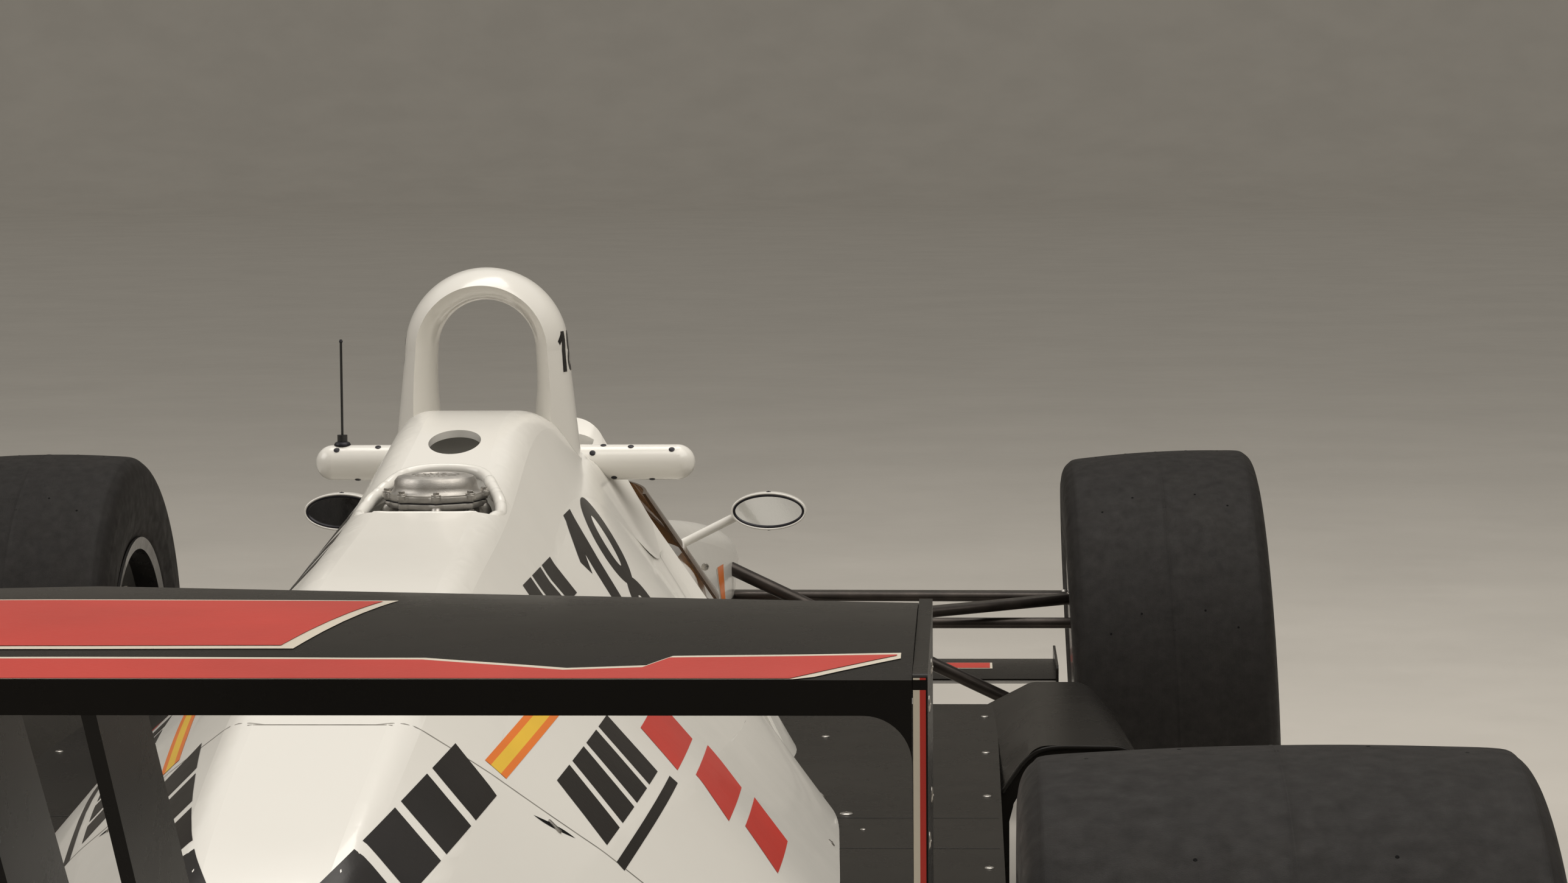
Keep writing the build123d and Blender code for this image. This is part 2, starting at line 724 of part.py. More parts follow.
# Suspension

def knuckle_height(axle):
    # the height of an axle's suspension joints: that of the left wheel's centre
    if axle == "front":
        return wheel_height(front_tyre_radius, front_tyre_width, front_crown, front_left_lean)
    return wheel_height(rear_tyre_radius, rear_tyre_width, rear_crown, rear_left_lean)


def knuckle(axle):
    # the kingpin's place for one axle on the left
    if axle == "front":
        return front_outer_half - front_tyre_width / 2 - kingpin_inset, along(-wheelbase), knuckle_height(axle)
    return rear_outer_half - rear_tyre_width / 2 - kingpin_inset, along(0), knuckle_height(axle)


def arm(joint, inner_half, inner_z, places):
    # one wishbone: two legs from the body to the ball at the upright
    legs = [strut((inner_half, along(place), inner_z), joint, arm_chord, arm_thickness) for place in places]
    return legs[0] + legs[1] + Pos(*joint) * Cylinder(14, joint_height)


def largest(shape):
    return sorted(shape.solids(), key=lambda solid: -solid.volume)[0]


def front_arms(tub):
    x, y, z = knuckle("front")
    places = (-2900, -2420)
    upper = arm((x, y, z + joint_rise), 110, 436, places)
    lower = arm((x, y, z - joint_rise), 150, 170, places)
    push = rod((push_top_half, y + 6, push_top_z), (x - 46, y + 6, z - joint_rise + 28), push_radius)
    solids = []
    for piece in (upper, lower, push):
        solids += both(largest(piece - tub))
    return solids


def rear_arms(case):
    x, y, z = knuckle("rear")
    places = (-300, 150)
    upper = arm((x, y, z + joint_rise), 60, 400, places)
    lower = arm((x, y, z - joint_rise), 80, 212, places)
    lower += rod((78, y - 70, 385), (x - 44, y - 24, z - joint_rise + 9), push_radius)
    solids = []
    for piece in (upper, lower):
        solids += both(largest(piece - case))
    return solids


def upright(axle, spot, face_x, disc_radius):
    # a cast upright with its hub stub and the brake caliper, and on a front one the steering arm
    steered = axle == "front"
    side = spot[0]
    x, y, z = knuckle(axle)
    height = 2 * joint_rise - joint_height - 2 * joint_gap
    post = Pos(x, y, z) * Box(44, 2 * upright_half, height)
    post = fillet(post.edges().filter_by(Axis.Z), 10)
    if steered:
        rod_z = z + steering_arm_rise
        lug_z = rod_z - eye_height / 2 - eye_clearance - 5
        lever = box_between((x - 11, y, lug_z - 5), (x + 11, y + steering_arm_length, lug_z + 5))
        lug = Pos(x, y + steering_arm_length, lug_z) * Cylinder(12, 10)
        post += lever + lug
    if side < 0:
        post = mirror(post, about=Plane.YZ)
    disc_low = face_x - disc_inset
    disc_high = disc_low + disc_thickness
    across = (1, 0, 0)
    root = Plane(origin=(-kingpin_inset, 0, 0), z_dir=across)
    stub = extrude(root * Circle(hub_radius), kingpin_inset + face_x - 30)
    block = box_between((-kingpin_inset + 10, 50, -48), (disc_high + spin_gap + 12, disc_radius + spin_gap + 12, 48))
    side_plane = Plane(origin=(disc_low - spin_gap, 0, 0), z_dir=across)
    slot = extrude(side_plane * Circle(disc_radius + spin_gap), disc_thickness + 2 * spin_gap)
    bell_room = extrude(side_plane * Circle(bell_radius + spin_gap), 200)
    caliper = block - slot - bell_room
    web = box_between((-kingpin_inset - 10, 30, -30), (-kingpin_inset + 12, disc_radius - 20, 30))
    local = caliper + web + stub
    if steered:
        local += extrude(root * Circle(shaft_radius), kingpin_inset + face_x - 10 - joint_gap)
    whole = post + placed(local, *spot)
    if not steered:
        bore = extrude(root.offset(-60) * Circle(shaft_radius + running_fit), 400)
        whole -= placed(bore, *spot)
    return whole


def drive_shaft(outer_half, width, face_x):
    # turns with the wheel: a joint at the inner end, a plain shaft through the upright, a splined outer end
    inner = -(outer_half - width / 2) + output_half + spin_gap
    outer = face_x - 10 - seat_gap
    outline = [
        (inner, 0), (inner, 42), (inner + 46, 42), (inner + 100, shaft_radius),
        (outer, shaft_radius), (outer, 0),
    ]
    return revolve(make_face(Polyline(*outline, close=True)), Axis.X)


def steering_rack():
    # rack bar sliding through the sides of the tub, with a track rod and an eye at each end
    x, y, z = knuckle("front")
    rack_y = y + steering_arm_length
    rack_z = z + steering_arm_rise
    bar = rod((-rack_half, rack_y, rack_z), (rack_half, rack_y, rack_z), rack_radius)
    rods = rod((-x, rack_y, rack_z), (x, rack_y, rack_z), rod_radius)
    eye = Pos(x, rack_y, rack_z) * Cylinder(13, eye_height)
    return bar + rods + eye + mirror(eye, about=Plane.YZ)


def rack_tunnel():
    x, y, z = knuckle("front")
    rack_y = y + steering_arm_length
    rack_z = z + steering_arm_rise
    return rod((-500, rack_y, rack_z), (500, rack_y, rack_z), rack_radius + running_fit)


def export(name, shape):
    solids = shape if isinstance(shape, list) else [shape]
    flat = []
    for item in solids:
        flat += item.solids()
    whole = flat[0] if len(flat) == 1 else Compound(children=flat)
    whole.label = name
    export_step(whole, "parts/" + name + ".step")
    print(name, len(flat), round(sum(s.volume for s in flat) / 1e6, 3))


tub_solid = tub_outer()
cover_solid = cover_outer()
tub, tub_cavity = monocoque(tub_solid)
tub -= rack_tunnel()
nose = nose_cone()
case = gearbox()
wing = rear_wing()
housing, glass = mirror_shapes(tub_solid)

export("monocoque", tub)
export("nose_cone", nose)
export("engine_cover", engine_cover(cover_solid, tub_solid))
export("roll_hoop", roll_hoop(cover_solid))
export("windscreen", windscreen(tub_solid))
export("seat", seat())
export("head_pad", head_pad())
export("steering_wheel", steering_wheel())
export("dash_panel", dash_panel(tub_cavity))
export("camera_pods", camera_pods(cover_solid))
export("antenna", antenna())
export("mirror_housings", both(housing))
export("mirror_glasses", both(glass))
left_pod = sidepod(tub_solid)
export("sidepod_left", left_pod)
export("sidepod_right", mirror(left_pod, about=Plane.YZ))
export("radiators", both(radiator()))
export("underfloor", underfloor())
export("engine_block", engine_block())
export("popoff_valve", popoff_valve())
export("gearbox_casing", case)
export("exhaust_pipe", exhaust_pipe())
export("rear_wing_plane", wing)
export("rear_wing_end_plates", rear_end_plates())
export("rear_wing_pylons", rear_pylons(case, wing))
export("front_wings", front_wings(nose))
export("front_wishbones", front_arms(tub_solid))
export("rear_wishbones", rear_arms(case))

axles = [
    # name, outer half, tyre width, place, tyre radius, crown, disc radius, spoke inset, left lean, right lean
    ("front", front_outer_half, front_tyre_width, -wheelbase, front_tyre_radius, front_crown, front_disc_radius, 76.0,
     front_left_lean, front_right_lean),
    ("rear", rear_outer_half, rear_tyre_width, 0.0, rear_tyre_radius, rear_crown, rear_disc_radius, 100.0,
     rear_left_lean, rear_right_lean),
]
rear_posts = []
for axle, outer_half, width, place, radius, crown, disc_radius, inset, left_lean, right_lean in axles:
    face_x = width / 2 - 14 - inset
    for name, side, lean in (("left", 1, left_lean), ("right", -1, right_lean)):
        spot = (side, outer_half, width, place, radius, crown, lean)
        export(axle + "_tyre_" + name, placed(tyre(radius, width, crown), *spot))
        export(axle + "_rim_" + name, placed(rim(width, inset), *spot))
        export(axle + "_disc_" + name, placed(brake_disc(disc_radius, face_x), *spot))
        post = upright(axle, spot, face_x, disc_radius)
        if axle == "front":
            export("front_upright_" + name, post)
        else:
            rear_posts.append(post)
            export("drive_shaft_" + name, placed(drive_shaft(outer_half, width, face_x), *spot))
export("rear_uprights", rear_posts)
export("steering_rack", steering_rack())
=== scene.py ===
import json
import math

import bmesh
import bpy
from mathutils import Matrix, Vector
from mathutils.bvhtree import BVHTree


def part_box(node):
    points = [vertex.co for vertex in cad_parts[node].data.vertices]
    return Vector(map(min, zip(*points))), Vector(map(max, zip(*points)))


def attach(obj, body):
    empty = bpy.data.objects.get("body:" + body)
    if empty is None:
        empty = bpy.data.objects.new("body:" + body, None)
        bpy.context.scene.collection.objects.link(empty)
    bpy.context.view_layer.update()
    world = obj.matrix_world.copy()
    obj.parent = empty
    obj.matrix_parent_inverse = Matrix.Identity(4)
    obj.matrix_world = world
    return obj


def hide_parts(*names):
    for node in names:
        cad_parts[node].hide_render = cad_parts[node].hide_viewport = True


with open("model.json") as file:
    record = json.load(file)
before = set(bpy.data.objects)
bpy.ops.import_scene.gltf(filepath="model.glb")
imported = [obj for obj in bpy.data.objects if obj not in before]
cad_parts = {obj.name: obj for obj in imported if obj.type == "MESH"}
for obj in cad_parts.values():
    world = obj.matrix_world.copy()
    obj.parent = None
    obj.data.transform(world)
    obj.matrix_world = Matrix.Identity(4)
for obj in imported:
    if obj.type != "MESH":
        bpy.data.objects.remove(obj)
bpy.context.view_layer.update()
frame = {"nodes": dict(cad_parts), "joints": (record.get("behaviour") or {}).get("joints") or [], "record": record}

# The dressed model of an open wheel single seater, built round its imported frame.
# The nose points along -Y, +X is the driver's left and +Z is up. Lengths are in metres.
# A place is the distance behind the rear axle, forwards negative.

nodes = frame["nodes"]
joints = {joint["name"]: joint for joint in frame["joints"]}
REAR_AXLE_Y = joints["rear_spin_left"]["pos_m"][1]
SIDES = (("left", 1), ("right", -1))

# Camera, from the fit of the photograph's view
CAMERA_SPOT = Vector((-0.5483, 4.5047, 1.1928))
CAMERA_YAW = -0.0465
CAMERA_PITCH = 0.0873
CAMERA_ROLL = -0.0065
CAMERA_LENS = 89.95
SENSOR_WIDTH = 36.0

# Colours
WARM_WHITE = (0.79, 0.77, 0.72)
GLOSS_BLACK = (0.01, 0.009, 0.008)
STRIPE_RED = (0.56, 0.03, 0.018)
STRIPE_ORANGE = (0.8, 0.19, 0.02)
STRIPE_YELLOW = (0.83, 0.52, 0.04)
STRIPE_CREAM = (0.72, 0.66, 0.55)
RUBBER_GREY = (0.0155, 0.0142, 0.0135)
RUBBER_DUST = (0.026, 0.0235, 0.021)
FLOOR_COLOUR = (0.62, 0.59, 0.54)
SKY_LOW = (0.52, 0.5, 0.47)
SKY_HIGH = (0.36, 0.35, 0.33)

# Sizes of the wheels and of what they carry
FRONT_TYRE_WIDTH = 0.292
REAR_TYRE_WIDTH = 0.407
FRONT_CROWN = 1.5
REAR_CROWN = 3.0
SHOULDER = 0.024
BEAD_RADIUS = 0.1908
FRONT_SPOKES = 0.056
REAR_SPOKES = 0.0895
DISC_INSET = 0.092
DISC_THICKNESS = 0.028
DISC_RADIUS = 0.13
FRONT_KNUCKLE = Vector((0.74, REAR_AXLE_Y - 2.845, 0.329))
REAR_KNUCKLE = Vector((0.6845, REAR_AXLE_Y, 0.341))
JOINT_RISE = 0.112
BALL_HALF = 0.01


def along(place):
    return REAR_AXLE_Y + place


# Mesh helpers. A part is a pair: its points and its faces.

EDGE_ROUNDS = 2
MERGE_DISTANCE = 1e-6


def joined(*parts):
    points, faces = [], []
    for more_points, more_faces in parts:
        start = len(points)
        points += [Vector(point) for point in more_points]
        faces += [tuple(index + start for index in face) for face in more_faces]
    return points, faces


def moved(part, matrix):
    return [matrix @ Vector(point) for point in part[0]], part[1]


def at(*spot):
    return Matrix.Translation(spot)


def turned(axis, angle):
    return Matrix.Rotation(angle, 4, axis)


def frame_at(spot, normal, fore=(0, 1, 0)):
    # a matrix whose Z is the normal and whose Y lies as near as it can to fore
    z = Vector(normal).normalized()
    x = Vector(fore).cross(z)
    if x.length < 1e-4:
        x = Vector((1, 0, 0)).cross(z)
    x.normalize()
    turn = Matrix((x, z.cross(x), z)).transposed().to_4x4()
    return Matrix.Translation(Vector(spot)) @ turn


def angles(count, turn=0.0):
    return [2 * math.pi * step / count + turn for step in range(count)]


def on_circle(angle, reach, height=0.0):
    return Vector((reach * math.cos(angle), reach * math.sin(angle), height))


def quads(rows, width, closed=True, joined_ends=False):
    # the faces between rows of points; closed rows are rings, joined ends make the last row meet the first
    faces = []
    for row in range(rows if joined_ends else rows - 1):
        first, below = row * width, (row + 1) % rows * width
        for step in range(width if closed else width - 1):
            after = (step + 1) % width
            faces.append((first + step, first + after, below + after, below + step))
    return faces


def lathe(profile, steps=48):
    # (radius, height) pairs turned about local Z
    points = [on_circle(angle, radius, height) for radius, height in profile for angle in angles(steps)]
    return points, quads(len(profile), steps)


def curve_through(knots, cuts):
    # a smooth line through the knots
    ends = [knots[0] * 2 - knots[1], *knots, knots[-1] * 2 - knots[-2]]
    line = []
    for before, first, second, after in zip(ends, ends[1:], ends[2:], ends[3:]):
        for cut in range(cuts):
            t = cut / cuts
            line.append(0.5 * (2 * first + (second - before) * t
                               + (2 * before - 5 * first + 4 * second - after) * t ** 2
                               + (3 * first - before - 3 * second + after) * t ** 3))
    line.append(knots[-1])
    return line


def tube(path, radius, steps=12, flat=1.0):
    # a pipe along a path, its ends closed
    points = []
    across = None
    for index, spot in enumerate(path):
        way = (path[min(index + 1, len(path) - 1)] - path[max(index - 1, 0)]).normalized()
        if across is None:
            across = way.cross(Vector((0, 0, 1)) if abs(way.z) < 0.9 else Vector((0, 1, 0)))
        across = (across - way * across.dot(way)).normalized()
        up = way.cross(across)
        for angle in angles(steps):
            points.append(spot + (across * math.cos(angle) + up * math.sin(angle) * flat) * radius)
    faces = quads(len(path), steps)
    faces.append(tuple(range(steps - 1, -1, -1)))
    faces.append(tuple((len(path) - 1) * steps + step for step in range(steps)))
    return points, faces


def ring_tube(ring, radius, steps=10):
    # a pipe along a closed ring of points
    middle = sum(ring, Vector()) / len(ring)
    points = []
    for index, spot in enumerate(ring):
        way = (ring[(index + 1) % len(ring)] - ring[index - 1]).normalized()
        out = spot - middle
        out = (out - way * out.dot(way)).normalized()
        up = way.cross(out)
        for angle in angles(steps):
            points.append(spot + (out * math.cos(angle) + up * math.sin(angle)) * radius)
    return points, quads(len(ring), steps, joined_ends=True)


def prism(outline, low, high, edge=0.0):
    # an outline in XY between two heights, its long edges rounded
    work = bmesh.new()
    base = work.faces.new([work.verts.new((x, y, low)) for x, y in outline])
    top = bmesh.ops.extrude_face_region(work, geom=[base])
    lifted = [item for item in top["geom"] if isinstance(item, bmesh.types.BMVert)]
    bmesh.ops.translate(work, verts=lifted, vec=(0, 0, high - low))
    bmesh.ops.recalc_face_normals(work, faces=work.faces)
    if edge:
        rims = [item for item in work.edges if abs(item.verts[0].co.z - item.verts[1].co.z) < 1e-6]
        bmesh.ops.bevel(work, geom=rims, offset=edge, segments=EDGE_ROUNDS, profile=0.5, affect="EDGES")
    work.verts.index_update()
    points = [vert.co.copy() for vert in work.verts]
    faces = [tuple(vert.index for vert in face.verts) for face in work.faces]
    work.free()
    return points, faces


def round_outline(width, length, corner, steps=6):
    outline = []
    for sign_x, sign_y, start in ((1, 1, 0), (-1, 1, 1), (-1, -1, 2), (1, -1, 3)):
        for step in range(steps + 1):
            angle = (start + step / steps) * math.pi / 2
            outline.append((sign_x * (width / 2 - corner) + corner * math.cos(angle),
                            sign_y * (length / 2 - corner) + corner * math.sin(angle)))
    return outline


def block(width, length, corner, steps, low, high, edge=0.0):
    return prism(round_outline(width, length, corner, steps), low, high, edge)


def hexagon(radius):
    return [on_circle(angle, radius)[:2] for angle in angles(6)]


def bolt(across, rise, washer=True):
    # a hexagon head on a washer, standing on local Z zero
    head = prism(hexagon(across / 2), 0.0, rise, rise * 0.16)
    if not washer:
        return head
    disc = lathe([(0, 0), (across * 0.72, 0), (across * 0.72, rise * 0.18), (across * 0.68, rise * 0.25),
                  (0, rise * 0.25)], 20)
    return joined(head, disc)


def stud(radius, rise):
    # a quarter turn fastener: a shallow dome with a slot across it
    dome = lathe([(radius, 0), (radius, rise * 0.4), (radius * 0.86, rise * 0.8), (radius * 0.5, rise),
                  (0, rise)], 20)
    slot_width, slot_length = radius * 0.24, radius * 1.2
    slot = block(slot_width, slot_length, slot_width * 0.45, 3, rise * 0.9, rise * 1.25)
    return joined(dome, slot)


def mesh_object(name, part, material, crease=35.0):
    mesh = bpy.data.meshes.new(name)
    points, faces = part
    mesh.from_pydata([tuple(point) for point in points], [], faces)
    work = bmesh.new()
    work.from_mesh(mesh)
    bmesh.ops.remove_doubles(work, verts=work.verts, dist=MERGE_DISTANCE)
    bmesh.ops.dissolve_degenerate(work, edges=work.edges, dist=MERGE_DISTANCE)
    bmesh.ops.recalc_face_normals(work, faces=work.faces)
    work.to_mesh(mesh)
    work.free()
    mesh.shade_smooth()
    mesh.set_sharp_from_angle(angle=math.radians(crease))
    piece = bpy.data.objects.new(name, mesh)
    bpy.context.scene.collection.objects.link(piece)
    mesh.materials.append(material)
    return piece


def piece_of(name, part, material, body="chassis", replaced=(), crease=35.0):
    made = mesh_object(name, part, material, crease)
    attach(made, body)
    if replaced:
        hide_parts(*replaced)
    return made


trees = {}


def tree_of(*names):
    if names not in trees:
        meshes = [nodes[name].data for name in names]
        trees[names] = BVHTree.FromPolygons(*joined(*(
            ([vert.co for vert in mesh.vertices], [tuple(face.vertices) for face in mesh.polygons])
            for mesh in meshes)))
    return trees[names]


def dropped(names, origin, way):
    # the first point that a ray meets on the named nodes, with the normal that faces the ray
    spot, normal, _, _ = tree_of(*names).ray_cast(Vector(origin), Vector(way).normalized())
    if spot is None:
        return None, None
    if normal.dot(Vector(way)) > 0:
        normal = -normal
    return spot, normal


# A chart is an origin, the ways of u and v and the way of the rays that lay a drawing on a panel.
# Rays start this far in front of the chart.
CAST_START = 0.6
LIFT = 0.0004
SEAM_LIFT = 0.0003
FLANK = Vector((0.753, 0.0, 0.658))
DOWN = ((0, 0, 0.6), (1, 0, 0), (0, 1, 0), (0, 0, -1))
DOWN_HIGH = ((0, 0, 1.2), (1, 0, 0), (0, 1, 0), (0, 0, -1))
FORWARDS = ((0, 3.0, 0), (1, 0, 0), (0, 0, 1), (0, -1, 0))


def flank(side):
    # a chart of one flank of the cover: u along the car, v up the slope
    cast = Vector((-side * FLANK.x, 0, -FLANK.z))
    return -cast * 0.3, (0, 1, 0), (-side * FLANK.z, 0, FLANK.x), cast


def from_side(side, start):
    return (side * start, 0, 0), (0, 1, 0), (0, 0, 1), (-side, 0, 0)


def ways_of(chart):
    origin, u_way, v_way, cast = (Vector(item) for item in chart)
    return origin, u_way, v_way, cast.normalized()


def patch(name, lefts, rights, across, chart, names, lift, material):
    # a thin skin between two lines drawn on a chart, laid on the named nodes
    origin, u_way, v_way, cast = ways_of(chart)
    points = []
    for left, right in zip(lefts, rights):
        for step in range(across + 1):
            u, v = (a + (b - a) * step / across for a, b in zip(left, right))
            start = origin + u_way * u + v_way * v
            spot, normal = dropped(names, start - cast * CAST_START, cast)
            if spot is None:
                spot, normal = points[-1] if points else start, Vector((0, 0, 0))
            points.append(spot + normal * lift)
    piece_of(name, (points, quads(len(lefts), across + 1, False)), material, crease=60.0)


def fine(line, gap):
    # a line's points with more between them, no further apart than the gap
    dense = [line[0]]
    for first, second in zip(line, line[1:]):
        cuts = max(1, math.ceil(math.dist(first, second) / gap))
        for cut in range(1, cuts + 1):
            dense.append(tuple(a + (b - a) * cut / cuts for a, b in zip(first, second)))
    return dense


def sides_of(line, half):
    # two lines beside a line, half a width away on each side
    lefts, rights = [], []
    for index, spot in enumerate(line):
        first, last = line[max(index - 1, 0)], line[min(index + 1, len(line) - 1)]
        run = math.dist(first, last)
        nx, ny = -(last[1] - first[1]) / run, (last[0] - first[0]) / run
        lefts.append((spot[0] + nx * half, spot[1] + ny * half))
        rights.append((spot[0] - nx * half, spot[1] - ny * half))
    return lefts, rights


def ruled(name, line, gap, half, chart, names, lift, material):
    # a drawn line of an even width
    patch(name, *sides_of(fine(line, gap), half), 1, chart, names, lift, material)


def field(name, chart, names, corners, gap, lift, material):
    # a four cornered field: corners in order round it, the first two along its lower side
    low = fine(corners[:2], gap)
    steps = len(low) - 1
    high = [tuple(a + (b - a) * step / steps for a, b in zip(corners[3], corners[2]))
            for step in range(steps + 1)]
    across = max(1, math.ceil(math.dist(corners[1], corners[2]) / gap))
    patch(name, low, high, across, chart, names, lift, material)


# Materials

def new_material(name):
    material = bpy.data.materials.new(name)
    material.use_nodes = True
    tree = material.node_tree
    return material, tree, tree.nodes["Principled BSDF"]


def set_inputs(node, **values):
    for name, value in values.items():
        node.inputs[name.replace("_", " ")].default_value = value


def object_point(tree):
    return tree.nodes.new("ShaderNodeTexCoord").outputs["Object"]


def noise(tree, scale, detail=3.0, roughness=0.5, point=None):
    node = tree.nodes.new("ShaderNodeTexNoise")
    set_inputs(node, Scale=scale, Detail=detail, Roughness=roughness)
    tree.links.new(point or object_point(tree), node.inputs["Vector"])
    return node.outputs["Fac"]


def wave(tree, direction, scale, distortion):
    node = tree.nodes.new("ShaderNodeTexWave")
    node.bands_direction = direction
    set_inputs(node, Scale=scale, Distortion=distortion)
    tree.links.new(object_point(tree), node.inputs["Vector"])
    return node.outputs["Fac"]


def stretched(tree, scale):
    node = tree.nodes.new("ShaderNodeMapping")
    set_inputs(node, Scale=scale)
    tree.links.new(object_point(tree), node.inputs["Vector"])
    return node.outputs["Vector"]


def spread(tree, value, low, high, start=0.3, end=0.7):
    # value between start and end becomes low to high
    node = tree.nodes.new("ShaderNodeMapRange")
    set_inputs(node, From_Min=start, From_Max=end, To_Min=low, To_Max=high)
    tree.links.new(value, node.inputs["Value"])
    return node.outputs["Result"]


def blend_colours(tree, value, first, second, start=0.35, end=0.65):
    node = tree.nodes.new("ShaderNodeMix")
    node.data_type = "RGBA"
    for socket, colour in ((node.inputs[6], first), (node.inputs[7], second)):
        if isinstance(colour, tuple):
            socket.default_value = (*colour, 1.0)
        else:
            tree.links.new(colour, socket)
    tree.links.new(spread(tree, value, 0.0, 1.0, start, end), node.inputs["Factor"])
    return node.outputs[2]


def math_node(tree, operation, first, second):
    node = tree.nodes.new("ShaderNodeMath")
    node.operation = operation
    for socket, value in zip(node.inputs, (first, second)):
        if isinstance(value, (int, float)):
            socket.default_value = value
        else:
            tree.links.new(value, socket)
    return node.outputs[0]


def finished(tree, shader, colours, roughness, height, distance):
    # the colour, the roughness and the relief of a material
    tree.links.new(colours, shader.inputs["Base Color"])
    tree.links.new(roughness, shader.inputs["Roughness"])
    node = tree.nodes.new("ShaderNodeBump")
    set_inputs(node, Distance=distance, Strength=1.0)
    tree.links.new(height, node.inputs["Height"])
    tree.links.new(node.outputs["Normal"], shader.inputs["Normal"])


def tint(colour, factor):
    return tuple(min(1.0, part * factor) for part in colour)


def surface(name, colour, rough, metal=0.0, vary=0.08, scale=7.0, grain=300.0, depth=0.0001,
            rough_vary=0.06, coat=0.0, specular=0.5):
    # a plain finish: patchy colour, patchy roughness and a fine grain
    material, tree, shader = new_material(name)
    colours = blend_colours(tree, noise(tree, scale, 5.0), tint(colour, 1 - vary), tint(colour, 1 + vary))
    smudges = noise(tree, scale * 4.3, 6.0, 0.65)
    roughness = spread(tree, smudges, rough - rough_vary, rough + rough_vary)
    finished(tree, shader, colours, roughness, noise(tree, grain, 4.0, 0.6), depth)
    set_inputs(shader, Metallic=metal, Coat_Weight=coat, Coat_Roughness=0.04, Specular_IOR_Level=specular)
    return material


def rubber(name):
    # slick tyre: a dull, lightly scuffed tread with a fine grain and faint lines round the tyre
    material, tree, shader = new_material(name)
    scuffs = noise(tree, 55.0, 8.0, 0.72)
    worn = blend_colours(tree, scuffs, tint(RUBBER_GREY, 0.75), tint(RUBBER_GREY, 1.5), 0.32, 0.75)
    dusty = blend_colours(tree, noise(tree, 14.0, 7.0, 0.65), worn, RUBBER_DUST, 0.55, 0.95)
    lines = noise(tree, 1.0, 4.0, 0.7, stretched(tree, (520.0, 9.0, 9.0)))
    grain = noise(tree, 800.0, 5.0, 0.7)
    height = math_node(tree, "ADD", math_node(tree, "MULTIPLY", lines, 0.5), grain)
    finished(tree, shader, dusty, spread(tree, noise(tree, 60.0, 6.0), 0.5, 0.68), height, 0.0004)
    set_inputs(shader, Specular_IOR_Level=0.16)
    return material


def tinted(name):
    # brown see-through screen with a faint haze
    material, tree, shader = new_material(name)
    colours = blend_colours(tree, noise(tree, 9.0, 5.0), (0.22, 0.105, 0.035), (0.3, 0.15, 0.055))
    tree.links.new(colours, shader.inputs["Base Color"])
    tree.links.new(spread(tree, noise(tree, 40.0, 5.0), 0.02, 0.06), shader.inputs["Roughness"])
    set_inputs(shader, Transmission_Weight=0.85, IOR=1.42)
    return material


def fins_with_gap_shade(name):
    # radiator core: thin horizontal fins, with painted shade in the dark gaps between them
    material, tree, shader = new_material(name)
    rows = wave(tree, "Z", 130.0, 0.4)
    # the dark bands are painted shade in the gaps between the fins
    colours = blend_colours(tree, rows, (0.03, 0.03, 0.03), (0.33, 0.34, 0.35), 0.2, 0.8)
    finished(tree, shader, colours, spread(tree, noise(tree, 30.0), 0.4, 0.55), rows, 0.001)
    set_inputs(shader, Metallic=0.8)
    return material


def weave(name, colour, scale=210.0):
    # woven cloth from two crossed waves
    material, tree, shader = new_material(name)
    threads = math_node(tree, "MAXIMUM", wave(tree, "X", scale, 0.6), wave(tree, "DIAGONAL", scale, 0.6))
    colours = blend_colours(tree, threads, tint(colour, 0.55), tint(colour, 1.25), 0.2, 0.9)
    finished(tree, shader, colours, spread(tree, noise(tree, 80.0), 0.8, 0.95), threads, 0.0006)
    set_inputs(shader, Sheen_Weight=0.35)
    return material


def brushed(name, colour, rough):
    # turned or brushed metal: fine lines in one direction
    material, tree, shader = new_material(name)
    lines = noise(tree, 1.0, 5.0, 0.6, stretched(tree, (9.0, 900.0, 900.0)))
    colours = blend_colours(tree, lines, tint(colour, 0.8), tint(colour, 1.2), 0.3, 0.7)
    finished(tree, shader, colours, spread(tree, lines, rough - 0.08, rough + 0.1), lines, 0.00012)
    set_inputs(shader, Metallic=0.95)
    return material


